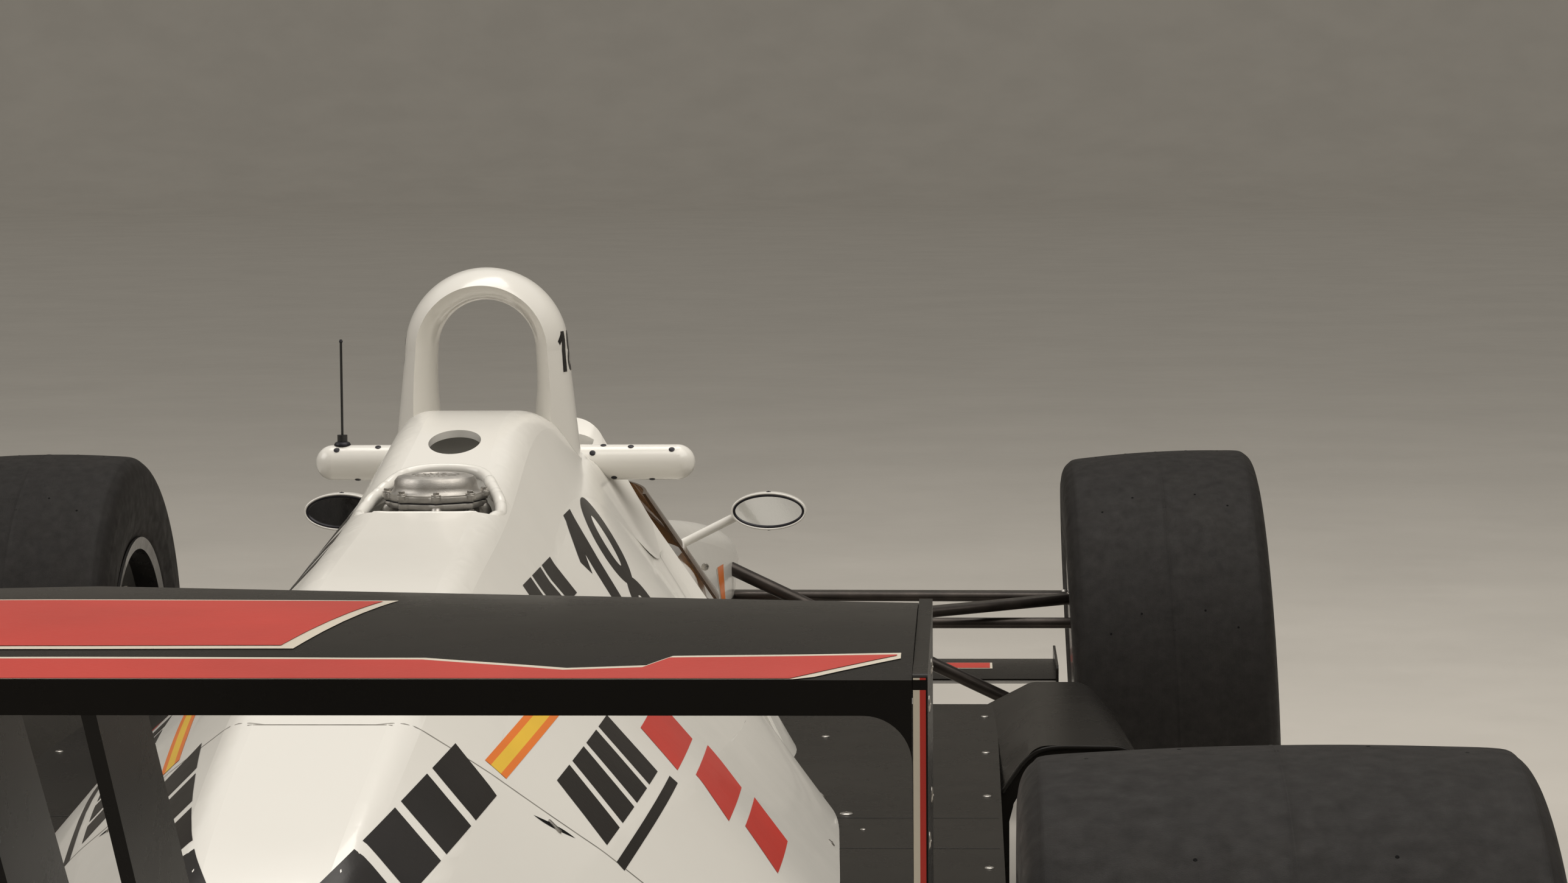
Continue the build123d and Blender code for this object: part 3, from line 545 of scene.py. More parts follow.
paint = {
    "tinted_glass": tinted("tinted_glass"),
    "seat_cloth": weave("seat_cloth", (0.045, 0.045, 0.052)),
    "core_metal": fins_with_gap_shade("core_metal"),
    "shaft_steel": brushed("shaft_steel", (0.36, 0.35, 0.34), 0.3),
    "tyre_rubber": rubber("tyre_rubber"),
}
for name, colour, rough, more in (
    ("body_white", WARM_WHITE, 0.22,
     dict(vary=0.015, scale=2.4, grain=140.0, depth=0.00002, rough_vary=0.02, coat=0.3)),
    ("body_black", GLOSS_BLACK, 0.27,
     dict(vary=0.2, scale=3.0, grain=160.0, depth=0.00002, rough_vary=0.02, specular=0.1)),
    ("floor_black", (0.012, 0.012, 0.012), 0.45, dict(vary=0.25, scale=12.0, depth=0.0002, specular=0.25)),
    ("grip_leather", (0.03, 0.028, 0.026), 0.7, dict(vary=0.25, scale=40.0, grain=600.0, depth=0.0005)),
    ("dash_black", (0.02, 0.02, 0.02), 0.6, dict(vary=0.2, scale=20.0, grain=500.0, depth=0.0003)),
    ("cast_metal", (0.47, 0.45, 0.42), 0.44,
     dict(metal=0.92, vary=0.14, scale=38.0, grain=900.0, depth=0.00018, rough_vary=0.08)),
    ("engine_metal", (0.22, 0.22, 0.22), 0.5, dict(metal=0.8, vary=0.2, scale=14.0, depth=0.0006)),
    ("gear_metal", (0.25, 0.23, 0.2), 0.5, dict(metal=0.75, vary=0.2, scale=16.0, depth=0.0006)),
    ("arm_metal", (0.045, 0.037, 0.032), 0.34, dict(metal=0.6, vary=0.25, scale=25.0)),
    ("upright_metal", (0.42, 0.41, 0.4), 0.38, dict(metal=0.9, vary=0.1, scale=25.0, depth=0.0004)),
    ("rim_metal", (0.05, 0.048, 0.046), 0.3, dict(metal=0.55, vary=0.2, scale=12.0, coat=0.3)),
    ("disc_iron", (0.24, 0.22, 0.2), 0.42, dict(metal=0.9, vary=0.15, scale=35.0, depth=0.0003)),
    ("pipe_steel", (0.34, 0.26, 0.2), 0.34, dict(metal=0.9, vary=0.3, scale=9.0)),
    ("mirror_face", (0.86, 0.87, 0.88), 0.05,
     dict(metal=1.0, vary=0.02, scale=15.0, depth=0.00001, rough_vary=0.03)),
    ("whip_black", (0.015, 0.015, 0.015), 0.4, dict(vary=0.2, scale=30.0)),
):
    paint[name] = surface(name, colour, rough, **more)

trim = {"belt": weave("belt_web", (0.02, 0.028, 0.11), 420.0)}
for name, colour, vary in (("red", STRIPE_RED, 0.08), ("orange", STRIPE_ORANGE, 0.06),
                           ("yellow", STRIPE_YELLOW, 0.06), ("cream", STRIPE_CREAM, 0.05)):
    trim[name] = surface("stripe_" + name, colour, 0.32, vary=vary, scale=6.0, rough_vary=0.02, coat=0.1)
for key, name, colour, rough, more in (
    ("black", "stripe_black", (0.014, 0.012, 0.011), 0.3,
     dict(vary=0.15, scale=9.0, rough_vary=0.02, specular=0.2)),
    ("seam", "panel_seam", (0.25, 0.235, 0.21), 0.6, dict(vary=0.25, scale=40.0)),
    ("dark_seam", "dark_seam", (0.004, 0.004, 0.004), 0.7, dict(vary=0.3, scale=40.0)),
    # near black for holes, slots and recesses: painted shade where shade falls into them
    ("hollow", "hollow_black", (0.003, 0.003, 0.003), 0.8, dict(vary=0.3, scale=40.0, specular=0.1)),
    ("screw", "screw_black", (0.018, 0.017, 0.022), 0.35, dict(metal=0.5, vary=0.3, scale=90.0)),
    ("bolt", "bolt_steel", (0.46, 0.44, 0.41), 0.3, dict(metal=1.0, vary=0.15, scale=120.0, rough_vary=0.1)),
    ("nut_red", "nut_red", (0.42, 0.02, 0.015), 0.3,
     dict(metal=0.8, vary=0.12, scale=30.0, rough_vary=0.08)),
    ("nut_blue", "nut_blue", (0.03, 0.07, 0.36), 0.3,
     dict(metal=0.8, vary=0.12, scale=30.0, rough_vary=0.08)),
    ("stitch", "stitch_thread", (0.3, 0.29, 0.27), 0.8, dict(vary=0.2, scale=200.0)),
    ("dial", "dial_face", (0.012, 0.012, 0.013), 0.5, dict(vary=0.3, scale=60.0)),
    ("mark", "dial_mark", (0.7, 0.69, 0.65), 0.5, dict(vary=0.05, scale=60.0)),
    ("lens", "display_glass", (0.02, 0.035, 0.03), 0.08,
     dict(vary=0.3, scale=20.0, rough_vary=0.03, coat=0.6)),
):
    trim[key] = surface(name, colour, rough, **more)

slot_of = {part["node"]: part["material_slot"] for part in frame["record"]["subparts"]}
for name, piece in nodes.items():
    material = paint[slot_of[name]]
    if not piece.material_slots:
        piece.data.materials.append(material)
    for place in piece.material_slots:
        place.material = material


# Wheels

OUTWARDS = turned("Y", math.pi / 2)


def wheel_space(axle, name, side):
    # local X points out of the car along the wheel's axis
    joint = joints[axle + "_spin_" + name]
    axis = Vector(joint["axis"])
    turn = Matrix((axis * side, Vector((0, 1, 0)), Vector((-axis.z, 0, axis.x)))).transposed().to_4x4()
    return at(*joint["pos_m"]) @ turn


def tyre_profile(radius, width, crown):
    # half a section as (across, radius): crown, shoulder, bulging side wall with three raised rings, bead
    half = width / 2
    tread = half - SHOULDER
    edge = radius - tread ** 2 / (2 * crown)
    knots = [(x, radius - x ** 2 / (2 * crown)) for x in (tread * part / 4 for part in range(5))]
    knots += [(half - inset, r) for inset, r in (
        (0.014, edge - 0.005), (0.007, edge - 0.0125), (0.0026, edge - 0.024), (0.0008, edge - 0.04),
        (0.0, (BEAD_RADIUS + edge) / 2), (0.003, BEAD_RADIUS + 0.042), (0.0085, BEAD_RADIUS + 0.018),
        (0.0125, BEAD_RADIUS + 0.006), (0.014, BEAD_RADIUS))]
    ridges = (
        # radius, height, half width of each ring
        (edge - 0.034, 0.0009, 0.0016), (BEAD_RADIUS + 0.06, 0.0011, 0.0022),
        (BEAD_RADIUS + 0.024, 0.0016, 0.0028),
    )
    shaped = []
    for x, r, _ in curve_through([Vector((*knot, 0)) for knot in knots], 5):
        if x > tread:
            x += sum(rise * math.exp(-((r - middle) / wide) ** 2) for middle, rise, wide in ridges)
        shaped.append((x, r))
    return [(0.0, radius + 0.0004), (0.0007, radius + 0.00035), (0.0012, radius)] + shaped[1:]


def tyre_skin(axle, name, side, width, crown):
    space, body = wheel_space(axle, name, side), axle + "_wheel_" + name
    low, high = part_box(axle + "_tyre_" + name)
    radius = (high.y - low.y) / 2
    half = tyre_profile(radius, width, crown)
    section = [(r, -x) for x, r in reversed(half)] + [(r, x) for x, r in half[1:]]
    section.append(section[0])
    piece_of(axle + "_tyre_skin_" + name, moved(lathe(section, 144), space @ OUTWARDS), paint["tyre_rubber"],
             body, (axle + "_tyre_" + name,), 50.0)
    # small wear gauge holes in rows across the tread, each a dark disc of painted shade
    rows, across = 10, 5
    gauge = lathe([(0.0018, 0), (0.0015, 0.0004), (0.001, 0.0002), (0, 0.0002)], 10)
    holes = []
    for row in range(rows):
        for hole in range(across):
            x = (hole / (across - 1) - 0.5) * (width - 0.11)
            r = radius - x * x / (2 * crown)
            turn = turned("X", 2 * math.pi * (row + 0.13 * (hole % 2)) / rows)
            holes.append(moved(gauge, turn @ frame_at((x, 0, r - 0.00015), (x / crown, 0, 1))))
    piece_of(axle + "_tyre_holes_" + name, moved(joined(*holes), space), trim["hollow"], body)


def wheel_fittings(axle, name, side, width, spokes):
    space, body = wheel_space(axle, name, side), axle + "_wheel_" + name
    boss_face, nut_face, flange = spokes + 0.02, spokes + 0.042, width / 2 - 0.014
    parts = []
    for angle in angles(8, math.radians(22.5)):
        parts.append(moved(bolt(0.011, 0.006), turned("X", angle) @ at(boss_face, 0, 0.047) @ OUTWARDS))
    collar = [(0.024, 0), (0.024, 0.004), (0.0225, 0.0065), (0.018, 0.0075), (0.015, 0.0065), (0.0145, 0.001),
              (0.009, 0.001), (0.008, 0.004), (0, 0.0045)]
    parts.append(moved(lathe(collar, 32), at(nut_face, 0, 0) @ OUTWARDS))
    pin = [Vector((nut_face + 0.0055, -0.034 + 0.0085 * step, 0.0)) for step in range(9)]
    parts.append(tube(pin, 0.0022, 10))
    # the valve stem stands in the outer well of the rim
    stem = [(0.0028, 0), (0.0028, 0.01), (0.004, 0.011), (0.004, 0.022), (0.0032, 0.024), (0, 0.0245)]
    spot = turned("X", math.radians(33)) @ frame_at((flange - 0.052, 0, 0.162), (0.75, 0, -0.65))
    parts.append(moved(lathe(stem, 14), spot))
    piece_of(axle + "_wheel_fittings_" + name, moved(joined(*parts), space), trim["bolt"], body)
    # cooling slots round the disc and holes drilled through its faces, drawn as dark patches of painted shade
    near = spokes - DISC_INSET
    slot = block(0.014, 0.0075, 0.003, 3, -0.001, 0.00035)
    hole = lathe([(0.0034, 0), (0.0032, 0.0003), (0, 0.0003)], 12)
    cuts = [moved(slot, turned("X", angle) @ at(near + DISC_THICKNESS / 2, 0, DISC_RADIUS))
            for angle in angles(40)]
    for index in range(24):
        for ring, reach in enumerate((0.072, 0.092, 0.112)):
            turn = turned("X", 2 * math.pi * (index + ring * 0.3) / 24)
            for face, way in ((near, -1), (near + DISC_THICKNESS, 1)):
                cuts.append(moved(hole, turn @ at(face, 0, reach) @ turned("Y", way * math.pi / 2)))
    piece_of(axle + "_disc_holes_" + name, moved(joined(*cuts), space), trim["hollow"], body)


def caliper_fittings(axle, name, side, spokes, body):
    inside, outside = -0.102, spokes - DISC_INSET + DISC_THICKNESS + 0.017
    top = DISC_RADIUS + 0.017
    parts = []
    for y in (0.068, 0.128):
        for z in (-0.034, 0.034):
            parts.append(moved(bolt(0.013, 0.007), at(inside, y, z) @ turned("Y", -math.pi / 2)))
    for z in (-0.022, 0.022):
        # a fluid pipe over the disc
        bridge = [Vector((x, top + rise, z)) for x, rise in (
            (inside + 0.012, -0.002), (inside + 0.014, 0.006), (inside + 0.026, 0.009),
            (outside - 0.026, 0.009), (outside - 0.014, 0.006), (outside - 0.012, -0.002))]
        parts.append(tube(curve_through(bridge, 4), 0.0024, 10))
    nipple = [(0.0045, 0), (0.0045, 0.005), (0.0026, 0.006), (0.003, 0.012), (0.0016, 0.014), (0, 0.014)]
    parts.append(moved(lathe(nipple, 12), frame_at((inside + 0.02, 0.09, 0.048), (0, 0, 1))))
    piece_of(axle + "_caliper_fittings_" + name, moved(joined(*parts), wheel_space(axle, name, side)),
             trim["bolt"], body)


def arm_fittings():
    # bolts through the ball joints, and the lock nuts of the rod ends on each leg of the wishbones
    parts = []
    for knuckle, rise, inner_half, inner_z, places in (
        # knuckle, rise, inner half width, inner height, places of the two legs
        (FRONT_KNUCKLE, JOINT_RISE, 0.11, 0.436, (-2.9, -2.42)),
        (FRONT_KNUCKLE, -JOINT_RISE, 0.15, 0.17, (-2.9, -2.42)),
        (REAR_KNUCKLE, JOINT_RISE, 0.06, 0.4, (-0.3, 0.15)),
        (REAR_KNUCKLE, -JOINT_RISE, 0.08, 0.212, (-0.3, 0.15)),
    ):
        away = Vector((0, 0, math.copysign(1, rise)))
        for _, side in SIDES:
            ball = Vector((side * knuckle.x, knuckle.y, knuckle.z + rise))
            parts.append(moved(bolt(0.016, 0.007), frame_at(ball + away * BALL_HALF, away)))
            for place in places:
                way = (Vector((side * inner_half, along(place), inner_z)) - ball).normalized()
                for reach, size in ((0.03, 0.0115), (0.04, 0.01)):
                    nut = prism(hexagon(size), 0.0, 0.0075, 0.0009)
                    parts.append(moved(nut, frame_at(ball + way * reach, way)))
    piece_of("arm_fittings", joined(*parts), trim["bolt"])


for axle, width, crown, spokes in (("front", FRONT_TYRE_WIDTH, FRONT_CROWN, FRONT_SPOKES),
                                   ("rear", REAR_TYRE_WIDTH, REAR_CROWN, REAR_SPOKES)):
    for name, side in SIDES:
        tyre_skin(axle, name, side, width, crown)
        wheel_fittings(axle, name, side, width, spokes)
        caliper_fittings(axle, name, side, spokes, "front_upright_" + name if axle == "front" else "chassis")
arm_fittings()


# Boost valve, with heights from its top

VALVE_LOBES = 8
VALVE_TURN = math.radians(8)
LOBE_REACH = 0.05


def lobed(radius, lobe, low, high, edge=0.0):
    # a round plate with a rounded lobe at each bolt
    outline = []
    for angle in angles(144):
        near = max(math.cos((angle - VALVE_TURN) * VALVE_LOBES), 0.0) ** 3
        outline.append(on_circle(angle, radius + lobe * near)[:2])
    return prism(outline, low, high, edge)


def boost_valve():
    low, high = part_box("popoff_valve")
    centre = (low + high) / 2
    place = at(centre.x, centre.y, high.z)
    foot = low.z + 0.004 - high.z
    lid = [(0.0, -0.0016), (0.024, -0.0014), (0.0248, -0.0004), (0.0275, 0.0), (0.034, -0.0004),
           (0.0395, -0.0022), (0.0425, -0.0062), (0.0432, -0.0115), (0.0438, -0.015), (0.0462, -0.0178),
           (0.048, -0.0186), (0.048, -0.02), (0.0, -0.02)]
    waist = [(0.0, -0.034), (0.0455, -0.034), (0.044, -0.0365), (0.044, -0.0405), (0.0462, -0.042),
             (0.0462, -0.0455), (0.043, -0.0475), (0.043, -0.053), (0.0448, -0.0545), (0.0448, -0.059),
             (0.04, -0.062), (0.0385, foot), (0.0, foot)]
    castings = [lathe(lid, 96), lobed(0.0485, 0.0052, -0.0262, -0.0196, 0.0012),
                lobed(0.048, 0.0052, -0.0336, -0.0272, 0.0012), lathe(waist, 72)]
    bolts = []
    for index, angle in enumerate(angles(VALVE_LOBES, VALVE_TURN)):
        if index % 2 == 0:
            # a cast leg under each second lobe, bowed out and down to the base
            leg = curve_through([on_circle(angle, *spot) for spot in (
                (0.0455, -0.0335), (0.05, -0.038), (0.0508, -0.046), (0.0485, -0.06),
                (0.043, -0.075))], 5)
            castings.append(tube(leg, 0.0058, 14, 1.25))
        else:
            rib = prism([(0.04, -0.0016), (0.05, -0.0016), (0.05, 0.0016), (0.04, 0.0016)],
                        -0.06, -0.033, 0.0006)
            castings.append(moved(rib, turned("Z", angle)))
        boss = lathe([(0.0052, -0.023), (0.0052, -0.019), (0.0046, -0.0182), (0, -0.0182)], 20)
        castings.append(moved(boss, at(*on_circle(angle, LOBE_REACH))))
        over, under = at(*on_circle(angle, LOBE_REACH, -0.0182)), at(*on_circle(angle, LOBE_REACH, -0.0336))
        bolts.append(moved(bolt(0.0072, 0.0042), over @ turned("Z", angle)))
        bolts.append(moved(bolt(0.0072, 0.0038, False), under @ turned("X", math.pi)))
    # small raised ribs round the lid's face
    for angle in angles(16):
        castings.append(moved(block(0.01, 0.0014, 0.0006, 3, -0.0022, -0.0006, 0.0003),
                              turned("Z", angle) @ at(0.0165, 0, 0)))
    piece_of("boost_valve", moved(joined(*castings), place), paint["cast_metal"], "chassis",
             ("popoff_valve",), 32.0)
    piece_of("boost_valve_gasket", moved(lobed(0.047, 0.0048, -0.0274, -0.026), place), trim["screw"])
    piece_of("boost_valve_bolts", moved(joined(*bolts), place), trim["bolt"])


boost_valve()


# Cockpit

PANEL_Y = along(-2.165)
WHEEL_TILT = math.radians(-72)
WHEEL_SPOT = Vector((0, PANEL_Y + 0.135, 0.508))
GRIP_REACH = 0.132
FLAT_START = 0.72


def steering_wheel():
    space = at(*WHEEL_SPOT) @ turned("X", WHEEL_TILT)
    # the grip, flattened at its foot
    ring = [on_circle(angle, GRIP_REACH - 0.012 * max(0.0, -math.sin(angle) - FLAT_START) / (1 - FLAT_START))
            for angle in angles(120)]
    grip = [ring_tube(ring, 0.0128, 16)]
    # thumb rests at ten and two
    for _, side in SIDES:
        rest = []
        for step in range(9):
            reach = GRIP_REACH - 0.006 - 0.006 * math.sin(math.pi * step / 8)
            rest.append(on_circle(math.radians(90 - side * (38 + 2.6 * step)), reach, 0.006))
        grip.append(tube(rest, 0.0095, 12))
    piece_of("wheel_grip", moved(joined(*grip), space), paint["grip_leather"], "chassis",
             ("steering_wheel",), 60)
    inner = GRIP_REACH - 0.0126
    stitches = [tube([on_circle(angle, inner, -0.0026), on_circle(angle + 0.016, inner, 0.0026)], 0.0006, 6)
                for angle in angles(150) if -math.sin(angle) <= FLAT_START]
    piece_of("wheel_stitching", moved(joined(*stitches), space), trim["stitch"], crease=60)
    arm = [(0.02, -0.017), (0.06, -0.011), (0.124, -0.012), (0.124, 0.012), (0.06, 0.011), (0.02, 0.017)]
    arms, holes = [], []
    for angle in (0, 90, 180):
        turn = turned("Z", math.radians(angle))
        arms.append(moved(prism(arm, -0.002, 0.003, 0.0008), turn))
        # the holes in the arms are dark discs of painted shade
        for reach, size in ((0.052, 0.0058), (0.075, 0.005), (0.096, 0.005)):
            hole = lathe([(size, 0), (size, 0.0003), (0, 0.0003)], 20)
            holes.append(moved(hole, turn @ at(reach, 0, 0.003)))
    hub = [(0.0, 0.012), (0.016, 0.012), (0.018, 0.01), (0.018, 0.006), (0.032, 0.005), (0.034, 0.003),
           (0.034, -0.006), (0.026, -0.009), (0.022, -0.024), (0.0145, -0.026), (0.0142, -0.15),
           (0.0, -0.15)]
    arms.append(lathe(hub, 40))
    arms += [moved(bolt(0.006, 0.003), at(*on_circle(angle, 0.025, 0.0052))) for angle in angles(6)]
    piece_of("wheel_plate", moved(joined(*arms), space), trim["bolt"], crease=32)
    piece_of("wheel_plate_holes", moved(joined(*holes), space), trim["hollow"])
    for index, (side, colour) in enumerate(((1, "nut_red"), (-1, "nut_blue"))):
        button = lathe([(0.007, 0.003), (0.007, 0.006), (0.0055, 0.007), (0.0055, 0.01), (0.0045, 0.011),
                        (0, 0.011)], 24)
        stalk = block(0.016, 0.03, 0.006, 4, -0.001, 0.0035, 0.0008)
        made = joined(moved(button, at(side * 0.04, 0.028, 0)), moved(stalk, at(side * 0.038, 0.022, 0)))
        piece_of("wheel_button_%d" % index, moved(made, space), trim[colour])


def dash():
    space = frame_at((0, PANEL_Y + 0.02, 0.505), (0, 1, 0), (0, 0, 1))
    bezels, dials, marks = [], [], []
    for x, z, radius in ((-0.088, 0.03, 0.03), (0.088, 0.03, 0.03), (-0.15, -0.004, 0.021),
                         (0.15, -0.004, 0.021)):
        place = at(x, z, 0)
        rim = [(radius, 0), (radius, 0.009), (radius - 0.0015, 0.0105), (radius - 0.004, 0.0095),
               (radius - 0.0045, 0.003)]
        bezels.append(moved(lathe(rim, 40), place))
        dials.append(moved(lathe([(radius - 0.0044, 0.003), (0, 0.003)], 40), place))
        for tick in range(11):
            turn = place @ turned("Z", math.radians(225 - 27 * tick)) @ at(radius - 0.0085, 0, 0)
            marks.append(moved(block(0.0042, 0.001, 0.0004, 2, 0.003, 0.0034), turn))
        tip = radius - 0.009
        needle = prism([(-0.004, -0.0012), (tip, -0.0003), (tip, 0.0003), (-0.004, 0.0012)], 0.0042, 0.005)
        marks.append(moved(needle, place @ turned("Z", math.radians(205))))
        marks.append(moved(lathe([(0.003, 0.003), (0.003, 0.0056), (0, 0.006)], 16), place))
    bezels.append(moved(block(0.11, 0.052, 0.008, 5, 0.0, 0.006, 0.0012), at(0, 0.04, 0)))
    switch = [(0.0052, 0), (0.0052, 0.003), (0.003, 0.004), (0.0026, 0.012), (0.0016, 0.02), (0, 0.0205)]
    bezels += [moved(lathe(switch, 16), at(-0.052 + 0.026 * index, -0.012, 0)) for index in range(5)]
    for x in (-0.2, 0.2):
        for z in (-0.14, -0.06, 0.02, 0.065):
            bezels.append(moved(stud(0.0052, 0.0024), at(x, z, 0)))
    for name, parts, material in (("bezels", bezels, "bolt"), ("dials", dials, "dial"),
                                  ("marks", marks, "mark")):
        piece_of("dash_" + name, moved(joined(*parts), space), trim[material])
    screen = block(0.096, 0.038, 0.004, 4, 0.0055, 0.0066, 0.0004)
    piece_of("dash_display", moved(screen, space @ at(0, 0.04, 0)), trim["lens"])


steering_wheel()
dash()


# Padded pieces, swollen by a short cloth simulation from their solids

CLOTH_STIFFNESS = 12.0
CLOTH_BENDING = 0.6
CLOTH_FRAMES = 16


def baked(piece, name):
    # puts the piece's mesh as its modifiers leave it in place of its own
    graph = bpy.context.evaluated_depsgraph_get()
    mesh = bpy.data.meshes.new_from_object(piece.evaluated_get(graph))
    mesh.name = name
    piece.modifiers.clear()
    piece.data = mesh
    return mesh


def pressed(piece, depth_at):
    # moves each point of a pad in along its normal by the depth that is asked for at its place
    mesh = piece.data
    normals = [vert.normal.copy() for vert in mesh.vertices]
    for vert, normal in zip(mesh.vertices, normals):
        vert.co -= normal * depth_at(vert.co, normal)
    mesh.update()


def swollen(node, name, material, voxel, shrink, pressure, most):
    # a node's solid drawn in by shrink, then blown up by no more than most
    piece = bpy.data.objects.new(name, nodes[node].data.copy())
    bpy.context.scene.collection.objects.link(piece)
    piece.data.materials.clear()
    remesh = piece.modifiers.new("remesh", "REMESH")
    remesh.mode = "VOXEL"
    remesh.voxel_size = voxel
    mesh = baked(piece, name)
    pressed(piece, lambda spot, normal: shrink)
    start = [vert.co.copy() for vert in mesh.vertices]
    cloth = piece.modifiers.new("cloth", "CLOTH").settings
    cloth.use_pressure = True
    cloth.uniform_pressure_force = pressure
    cloth.effector_weights.gravity = 0.0
    cloth.tension_stiffness = CLOTH_STIFFNESS
    cloth.compression_stiffness = CLOTH_STIFFNESS
    cloth.bending_stiffness = CLOTH_BENDING
    scene = bpy.context.scene
    for number in range(1, CLOTH_FRAMES + 1):
        scene.frame_set(number)
    mesh = baked(piece, name)
    scene.frame_set(1)
    for vert, rest in zip(mesh.vertices, start):
        step = vert.co - rest
        if step.length > most:
            vert.co = rest + step.normalized() * most
    divide = piece.modifiers.new("divide", "SUBSURF")
    divide.levels = 1
    divide.render_levels = 1
    mesh.materials.append(material)
    baked(piece, name + "_mesh").shade_smooth()
    return piece


def groove(distance, half, depth):
    return depth * math.exp(-(distance / half) ** 2)


def seat_pad():
    piece = swollen("seat", "seat_pad", paint["seat_cloth"], 0.006, 0.004, 4.0, 0.012)
    channel, edge_half, groove_half = 0.062, 0.128, 0.0045

    def depth_at(spot, normal):
        # sewn channels across the seat, with a long seam down each side of the middle panel
        facing = normal.z * 0.6 - normal.y * 0.8 if spot.z > 0.2 else normal.z
        if facing < 0.25:
            return 0.0
        run = spot.z if spot.z > 0.24 else spot.y
        side = groove(abs(spot.x) - edge_half, groove_half, 0.005)
        if abs(spot.x) >= edge_half:
            return side
        return max(side, groove((run / channel - round(run / channel)) * channel, groove_half, 0.0045))

    pressed(piece, depth_at)
    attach(piece, "chassis")
    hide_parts("seat")


def head_cushion():
    piece = swollen("head_pad", "head_cushion", paint["seat_cloth"], 0.0045, 0.005, 5.0, 0.009)
    low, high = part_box("head_pad")
    centre = (low + high) / 2

    def depth_at(spot, normal):
        # a seam round the face and one down its middle
        if normal.y > -0.2:
            return 0.0
        off = spot - centre
        edge_gap = max(abs(off.x) / (high.x - low.x), abs(off.z) / (high.z - low.z)) - 0.38
        return groove(edge_gap * 0.13, 0.0035, 0.0035) + groove(off.x, 0.0035, 0.003)

    pressed(piece, depth_at)
    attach(piece, "chassis")
    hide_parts("head_pad")


seat_pad()
head_cushion()


BELT_HALF = 0.022
BELT_LIFT = 0.003
BELT_THICKNESS = 0.0018
BELT_START = 0.62


def strap(name, line, across_way):
    # webbing laid on the seat along a line of rays: each a start and a way
    columns = 5
    hits = []
    for start, way in line:
        for step in range(columns):
            origin = start + Vector(across_way) * BELT_HALF * (2 * step / (columns - 1) - 1)
            spot, normal = dropped(("seat", "monocoque"), origin, way)
            if spot is None:
                spot, normal = origin, -Vector(way).normalized()
            hits.append((spot, normal))
    points = [spot + normal * lift
              for lift in (BELT_LIFT + BELT_THICKNESS, BELT_LIFT) for spot, normal in hits]
    below = len(hits)
    faces = []
    for row in range(0, below - columns, columns):
        for first in range(row, row + columns - 1):
            low = first + below
            faces.append((first, first + 1, first + columns + 1, first + columns))
            faces.append((low, low + columns, low + columns + 1, low + 1))
        for first in (row, row + columns - 1):
            low = first + below
            faces.append((first, low, low + columns, first + columns))
    piece_of(name, (points, faces), trim["belt"], crease=50)


def belts():
    # shoulder straps down the back, lap straps round the hips and the buckle on the lap
    down = Vector((0, 0, -1))
    for index, side in enumerate((1, -1)):
        shoulder = [(Vector((side * (0.078 - 0.04 * step / 21), along(-1.95), 0.66 - 0.4 * step / 21)),
                     Vector((0, 1.0, -0.35))) for step in range(22)]
        strap("shoulder_strap_%d" % index, shoulder, (1, 0, 0))
        lap = [(Vector((side * (0.03 + 0.112 * step / 13), along(-1.905 + 0.045 * step / 13), BELT_START)),
                down) for step in range(14)]
        strap("lap_strap_%d" % index, lap, (0, 1, 0))
    crotch = [(Vector((0, along(-2.02 + 0.009 * step), BELT_START)), down) for step in range(12)]
    strap("crotch_strap", crotch, (1, 0, 0))
    spot, normal = dropped(("seat",), (0, along(-1.895), BELT_START), down)
    if spot is None:
        return
    case = [(0.0, 0.016), (0.01, 0.016), (0.012, 0.014), (0.03, 0.013), (0.033, 0.011), (0.033, 0.003),
            (0.03, 0.0)]
    lever = block(0.058, 0.012, 0.004, 4, 0.013, 0.018, 0.001)
    buckle = moved(joined(lathe(case, 40), lever), frame_at(spot + normal * 0.002, normal))
    piece_of("belt_buckle", buckle, trim["bolt"])


belts()


# Body trim

POD_Y = along(-1.584)
POD_Z = 0.763
POD_RADIUS = 0.021
POD_HALF = 0.227
MIRROR_SPOT = Vector((0.286, along(-2.131), 0.646))
MIRROR_REACH = Vector((0.05, 0.025))
DECK_RAY_Z = 0.6
DOWNWARDS = (0, 0, -1)
# radius and rise of the quarter turn fasteners, and the size across and the height of the casing's bolts
DECK_STUD = (0.0052, 0.0016)
DECK_STUD_LARGE = (0.0075, 0.0022)
DECK_STUD_SMALL = (0.003, 0.0012)
FLANK_STUD = (0.0048, 0.0014)
PLATE_STUD = (0.005, 0.0012)
CASING_BOLT = (0.0085, 0.0045)


def pod_trim():
    screws = []
    for _, side in SIDES:
        for x, angle in (
            # distance from the middle, angle round the pod from its back, degrees
            (0.106, 36), (0.118, 76), (0.131, -56), (0.151, 66), (0.2, 50), (0.176, -70),
        ):
            turn = math.radians(angle)
            out = Vector((0, math.cos(turn), math.sin(turn)))
            spot = Vector((side * x, POD_Y, POD_Z)) + out * POD_RADIUS
            screws.append(moved(stud(0.0036, 0.0009), frame_at(spot, out, (1, 0, 0))))
    # the antenna's foot and its round tip
    base = [(0.01, -0.0006), (0.01, 0.001), (0.0088, 0.003), (0.0064, 0.0044), (0.0, 0.0048)]
    foot_x = POD_HALF - 0.032
    screws.append(moved(lathe(base, 28), at(foot_x, POD_Y, POD_Z + POD_RADIUS)))
    _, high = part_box("antenna")
    tip = [(0.0, -0.0024), (0.0017, -0.0017), (0.0024, 0.0), (0.0017, 0.0017), (0.0, 0.0024)]
    screws.append(moved(lathe(tip, 16), at(foot_x, POD_Y, high.z - 0.0024)))
    piece_of("pod_screws", joined(*screws), trim["screw"])


